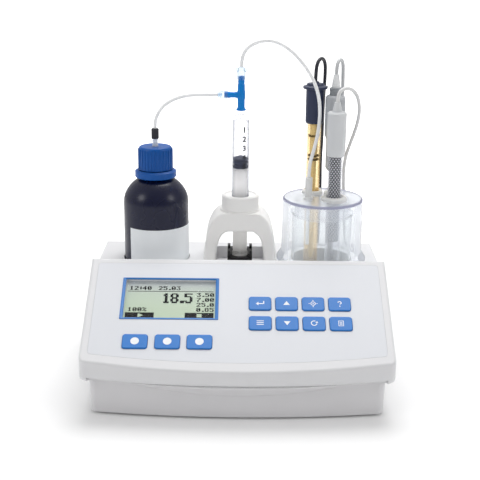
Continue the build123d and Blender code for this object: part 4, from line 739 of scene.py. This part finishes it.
# Dark grey, so that its light holes show as a regular pattern.
guard_grey = moulded("perforated guard, dark grey", "5E6064", 0.42, 0.8, 0.03, 0.15)
piece("probe_guard", turned([(4.1, 104.0), (4.8, 104.0), (4.8, 182.0), (4.1, 182.0)], at(*GLASS_PROBE)), guard_grey,
      "holder")
hole = turned([(0, -0.1), (0.62, -0.1), (0.62, 0.12), (0, 0.12)],
              Matrix(((0, 0, 1, 0), (0, 1, 0, 0), (-1, 0, 0, 0), (0, 0, 0, 1))), steps=12, ease=0)
guard_light = moulded("light through the guard's holes", "DADCE0", 0.5, 0.5, 0.01)
piece("guard_holes", joined("holes", [
    ribbed(hole, 12, 4.82, (*GLASS_PROBE, 106.0 + shift), guard_light, rows=22, rise=3.4, start=start)
    for shift, start in ((0.0, 0.0), (1.7, math.pi / 12))]), guard_light, "holder")

# ---------------------------------------------------------------- sockets and switch
# Along the leaning rear panel: power switch, power inlet, data socket, and the three probe sockets.
dress("power_switch", moulded("moulded nylon, black", "1E1E20", 0.38, 0.8, 0.03, 0.15))
dress("plastic_sockets", moulded("moulded PBT, black", "222224", 0.46, 0.8, 0.03, 0.15))

# ---------------------------------------------------------------- cables and their plugs
# Three screened cables in soft PVC run from the probe caps down behind the housing, lie in neat
# coils on the bench, each with a tie, and come up to the sockets. Each ends in its own plug.


def rear_place(x):
    """Frame on the leaning rear panel at the sockets' height: its z points out of the panel."""
    return Matrix(((-1, 0, 0, x), (0, -0.20502, 0.97876, 85.821), (0, 0.97876, 0.20502, 58.0), (0, 0, 0, 1)))


cable_black = moulded("PVC cable sheath, black", "20222E", 0.38, 0.6, 0.02)
cable_grey = moulded("PVC cable sheath, light grey", "C9CBCD", 0.40, 0.6, 0.02)
cable_white = moulded("PVC cable sheath, white", "E6E6E6", 0.38, 0.6, 0.02)
# Warmer than the zinc, with a tighter sheen.
nickel = bare_metal("nickel-plated brass", "C9C5BC", 0.24, 0.7)
dress("metal_sockets", nickel)
boot_black = moulded("moulded PVC boot, black", "1B1B1E", 0.45, 0.5, 0.03)

cable_width = 3.0
BNC_X, PIN_X, PHONO_X = 44.0, 6.0, 24.0
COIL_Y = 172.0
bnc_plug = piece("bnc_plug", turned([
    (4.9, 2.4), (7.2, 2.4), (7.2, 6.0), (6.7, 6.6), (6.7, 13.0), (7.2, 13.6), (7.2, 15.5), (6.2, 16.0), (5.2, 17.2),
    (0, 17.2), (0, 13.9), (4.9, 13.9)], rear_place(BNC_X)), nickel, "base", ["cable_plugs"])
bnc_boot = piece("bnc_boot", turned([
    (0, 16.8), (4.9, 16.8), (4.9, 26.8), (3.7, 28.0), (3.5, 31.0), (2.9, 31.4), (3.3, 32.2), (3.1, 35.0), (2.6, 35.4),
    (2.9, 36.2), (2.7, 39.4), (2.2, 39.8), (2.4, 44.0), (0, 44.0)], rear_place(BNC_X)),
    boot_black, "base")
pin_plug = piece("pin_plug", turned([
    (0, 6.3), (4.3, 6.3), (4.6, 8.0), (4.4, 16.0), (3.9, 17.0), (4.3, 18.0), (4.2, 26.0), (3.2, 27.5), (2.9, 31.0),
    (2.5, 31.6), (2.7, 32.6), (2.2, 40.0), (0, 40.0)], rear_place(PIN_X)), boot_black, "base")
phono_plug = piece("phono_plug", turned([
    (4.15, 2.2), (5.2, 2.2), (5.2, 12.0), (4.9, 12.6), (5.2, 13.2), (5.2, 26.0), (3.4, 28.0), (2.6, 42.0), (0, 42.0),
    (0, 9.0), (4.15, 9.0)], rear_place(PHONO_X)), boot_black, "base")


def coil(x, y, outer, floor, width):
    """Points of a coil of five and a half turns, from its right side round to its left: two turns in on the
    floor, two out over them, and the rest in again on top."""
    points = []
    steps = 12
    for i in range(1, int(5.5 * steps)):
        turn = i / steps
        if turn < 2:
            r, z = outer - width * turn, floor
        elif turn < 4:
            rise = min(1.0, (turn - 2) / 0.2)
            r, z = outer - 2 * width + width * max(0.0, turn - 2.12), floor + width * rise
        else:
            rise = min(1.0, (turn - 4) / 0.2)
            r, z = outer - 0.36 - width * max(0.0, turn - 4.12), floor + width * (1 + rise)
        angle = 2 * math.pi * turn
        points.append((x + r * math.cos(angle), y + r * math.sin(angle), z))
    return points


def line_and_tube(name, points, width, steps=8):
    """The smooth line through a route's points, and the round tube about it, both from one spline."""
    curve = bpy.data.curves.new(name, "CURVE")
    curve.dimensions = "3D"
    curve.resolution_u = steps
    spline = curve.splines.new("NURBS")
    spline.points.add(len(points) - 1)
    for knot, point in zip(spline.points, points):
        knot.co = (point[0] * MM, point[1] * MM, point[2] * MM, 1)
    spline.order_u = 3
    spline.use_endpoint_u = True
    spline.resolution_u = steps
    holder = bpy.data.objects.new(name, curve)
    bpy.context.scene.collection.objects.link(holder)

    def made():
        bpy.context.view_layer.update()
        seen = holder.evaluated_get(bpy.context.evaluated_depsgraph_get())
        return bpy.data.meshes.new_from_object(seen)

    line = [tuple(v.co) for v in made().vertices]
    curve.bevel_depth = width / 2 * MM
    curve.bevel_resolution = 3
    curve.use_fill_caps = True
    tube = made()
    bpy.data.objects.remove(holder)
    tube.shade_smooth()
    return line, tube


low = cable_width / 2
black_route = [
    (61.8, 50.4, 233.1), (61.8, 50.4, 238.6), (62.3, 50.8, 245.9), (64.7, 54.8, 250.6), (68.1, 60.4, 250.6),
    (70.5, 64.4, 245.9), (70.9, 67.6, 236.0), (70.6, 70.8, 220.0), (70.5, 74.0, 202.0), (70.9, 77.6, 182.0),
    (70.3, 80.8, 160.0), (71.2, 83.0, 136.0), (70.8, 86.4, 112.0), (71.4, 91.6, 88.0), (70.6, 97.6, 64.0),
    (69.6, 104.0, 42.0), (66.6, 111.6, 22.0), (61.0, 119.6, 8.0), (53.5, 128.6, low), (45.0, 140.0, low),
    (38.0, 153.0, low), (34.4, 164.0, low)]
black_back = [(-2.8, 165.4, 10.0), (-1.6, 159.8, 16.0), (0.6, 156.6, 29.0), (3.0, 153.0, 46.0), (5.0, 146.6, 60.6),
              (6.0, 133.8, 68.05), (6.0, 124.97, 66.2)]
grey_route = [
    (78.2, 45.2, 239.5), (78.2, 45.2, 246.0), (80.1, 49.2, 250.4), (82.9, 54.8, 250.4), (84.8, 58.8, 246.0),
    (85.2, 61.4, 234.0), (85.9, 64.6, 218.0), (85.2, 69.6, 199.0), (83.4, 75.6, 178.0), (81.0, 80.6, 154.0),
    (80.2, 83.6, 130.0), (79.0, 87.2, 106.0), (79.6, 92.6, 82.0), (79.0, 98.4, 60.0), (79.6, 104.8, 39.0),
    (78.6, 113.0, 20.0), (77.0, 124.0, 6.5), (77.0, 136.0, low), (79.0, 149.0, low), (80.4, 161.0, low)]
grey_back = [(43.0, 164.6, 10.4), (41.0, 158.6, 17.0), (37.0, 155.6, 30.0), (32.0, 152.6, 46.0), (27.0, 147.4, 60.6),
             (24.0, 135.74, 68.46), (24.0, 126.93, 66.61)]
white_route = [
    (78.2, 27.2, 219.6), (78.2, 27.2, 226.0), (82.6, 31.0, 230.2), (90.2, 37.2, 229.2), (96.2, 43.0, 222.0),
    (98.9, 48.0, 210.0), (97.6, 54.4, 195.6), (93.8, 63.4, 179.4), (90.4, 71.4, 163.6), (90.8, 79.6, 142.0),
    (93.8, 86.0, 118.0), (96.4, 91.6, 93.0), (99.8, 97.6, 68.0), (101.6, 103.6, 46.0), (104.0, 111.6, 25.0),
    (108.6, 121.6, 9.0), (115.0, 133.0, low), (121.8, 146.0, low), (126.0, 159.0, low)]
white_back = [(89.4, 164.6, 10.0), (82.8, 157.4, 18.0), (72.0, 154.6, 31.0), (60.0, 152.6, 46.0), (49.0, 149.0, 60.8),
              (44.0, 137.7, 68.87), (44.0, 128.89, 67.02)]
cables = {
    "black": (black_route, 14.0, 20.15, black_back, cable_black, [pin_plug]),
    "grey": (grey_route, 60.0, 20.6, grey_back, cable_grey, [phono_plug]),
    "white": (white_route, 106.0, 20.4, white_back, cable_white, [bnc_plug, bnc_boot]),
}
tie_black = moulded("woven hook-and-loop tape, black", "1B1B1F", 0.8, 0.4, 0.08, 0.2)
for shade, (front, coil_x, outer, back, sheath, plugs) in cables.items():
    tie_y = COIL_Y + outer - cable_width / 2 - 1.5
    tie = stacked([(10.4, 9.7, 1.6, -2.0), (10.4, 9.7, 1.6, 2.0), (9.5, 8.8, 1.2, 2.0), (9.5, 8.8, 1.2, -2.0)],
                  Matrix(((0, 0, 1, coil_x), (1, 0, 0, tie_y), (0, 1, 0, 4.9), (0, 0, 0, 1))), closed=True)
    plugs.append(piece(shade + "_cable_tie", tie, tie_black, "base"))
    points = front + coil(coil_x, COIL_Y, outer, low, cable_width) + back
    line, tube = line_and_tube(shade + "_probe_cable", points, cable_width)
    made = piece(shade + "_probe_cable", tube, sheath, "base",
                 [shade + "_cable", shade + "_cable_coil"])
    made.parent = None
    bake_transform(made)

# ---------------------------------------------------------------- reagent tubes
# Thin PTFE tubing, milky and a little springy: one from the bottle to the side of the valve, one from
# the top of the valve over to the dispensing tip.
# Milky white, with soft highlights along the bends.
tubing = moulded("PTFE tubing, milky", "FBFCFD", 0.3, 1.0, 0.01, 0.02)
tube_width = 2.9
aspiration_route = [
    (-69.3, 38.2, 195.2), (-69.3, 38.2, 200.6), (-66.4, 38.2, 208.4), (-60.6, 38.2, 215.2), (-51.6, 38.2, 220.2),
    (-41.0, 38.2, 222.6), (-29.4, 38.2, 223.2), (-17.8, 38.2, 223.2)]
dispensing_route = [
    (1.0, 38.2, 245.4), (1.0, 38.2, 252.6), (5.0, 37.4, 260.6), (13.4, 36.2, 265.8), (24.6, 35.0, 267.4),
    (36.4, 34.0, 262.6), (47.6, 33.2, 252.6), (57.4, 32.4, 239.6), (63.4, 31.6, 224.6), (64.9, 31.0, 209.0),
    (63.6, 30.4, 193.6), (60.2, 29.8, 178.6), (57.2, 29.6, 168.0), (57.2, 29.6, 157.4)]
for name, points, moves, start, end, replaced in (
    ("suction_line", aspiration_route, "bottle", (-0.018, 0.038, 0.223), (-0.069, 0.038, 0.2), "aspiration_tube"),
    ("delivery_line", dispensing_route, "holder", (0.004, 0.038, 0.255), (0.058, 0.03, 0.16), "dispensing_tube"),
):
    line, tube = line_and_tube(name, points, tube_width, 14)
    made = piece(name, tube, tubing, "base", [replaced])
    made.parent = None
    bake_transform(made)

# ---------------------------------------------------------------- bench, lamps and camera
# A plain white bench under broad soft lamps. It fades to pure white away from the object.
floor_mesh = bpy.data.meshes.new("bench")
floor_mesh.from_pydata([(-9, -9, 0), (9, -9, 0), (9, 9, 0), (-9, 9, 0)], [], [(0, 1, 2, 3)])
floor = bpy.data.objects.new("bench", floor_mesh)
bpy.context.scene.collection.objects.link(floor)


def looked_at(tree):
    """1 for a ray from the camera, also through a clear piece, and 0 for any other."""
    ray = add(tree, "ShaderNodeLightPath")
    return worked(tree, "MAXIMUM", ray.outputs["Is Camera Ray"], ray.outputs["Is Transmission Ray"])


paper, tree = new_material("white bench paper")
dull = add(tree, "ShaderNodeBsdfDiffuse", {"Color": linear("F2F2F2")})
spot = add(tree, "ShaderNodeVectorMath", {0: add(tree, "ShaderNodeTexCoord").outputs["Object"]}, operation="LENGTH")
reach = add(tree, "ShaderNodeMapRange", {
    "Value": spot.outputs["Value"], "From Min": 0.3, "From Max": 0.9, "To Min": 0.05, "To Max": 1.0})
glow = add(tree, "ShaderNodeEmission", {"Color": (1, 1, 1, 1), "Strength": reach.outputs["Result"]})
both = add(tree, "ShaderNodeAddShader", {0: dull.outputs[0], 1: glow.outputs[0]})
choice = add(tree, "ShaderNodeMixShader", {0: looked_at(tree), 1: dull.outputs[0], 2: both.outputs[0]})
add(tree, "ShaderNodeOutputMaterial", {"Surface": choice.outputs[0]})
floor_mesh.materials.append(paper)

world = bpy.data.worlds.new("studio")
bpy.context.scene.world = world
world.use_nodes = True
tree = world.node_tree
tree.nodes.clear()
way = add(tree, "ShaderNodeSeparateXYZ", {"Vector": add(tree, "ShaderNodeTexCoord").outputs["Generated"]})
room = add(tree, "ShaderNodeMapRange", {
    "Value": way.outputs["Y"], "From Min": -0.95, "From Max": 0.1, "To Min": 0.3, "To Max": 0.64})
strength = add(tree, "ShaderNodeMix", {0: looked_at(tree), 2: room.outputs["Result"], 3: 1.0})
sky = add(tree, "ShaderNodeBackground", {"Color": (1, 1, 1, 1), "Strength": strength.outputs[0]})
add(tree, "ShaderNodeOutputWorld", {"Surface": sky.outputs["Background"]})


def lamp(name, place, aim, size, power):
    light = bpy.data.lights.new(name, "AREA")
    light.shape = "DISK"
    light.size = size
    light.energy = power
    made = bpy.data.objects.new(name, light)
    bpy.context.scene.collection.objects.link(made)
    made.location = place
    made.rotation_euler = (Vector(aim) - Vector(place)).to_track_quat("-Z", "Y").to_euler()


lamp("overhead softbox", (0.1, 0.55, 1.4), (0, 0, 0.08), 1.1, 14.0)
lamp("left softbox", (-1.0, -0.6, 0.75), (0, 0, 0.1), 0.45, 2.5)
lamp("right softbox", (1.05, -0.45, 0.75), (0, 0, 0.1), 0.45, 2.1)

camera_data = bpy.data.cameras.new("camera")
camera_data.sensor_width = 36.0
camera_data.lens = 72.75
camera = bpy.data.objects.new("camera", camera_data)
bpy.context.scene.collection.objects.link(camera)
camera.matrix_world = (
    Matrix.Translation((0.0011, -0.7471, 0.3404))
    @ Matrix.Rotation(math.radians(90 - 17.0), 4, "X")
    @ Matrix.Rotation(math.radians(0.54), 4, "Z")
)
bpy.context.scene.camera = camera
bpy.context.scene.view_settings.view_transform = "Standard"
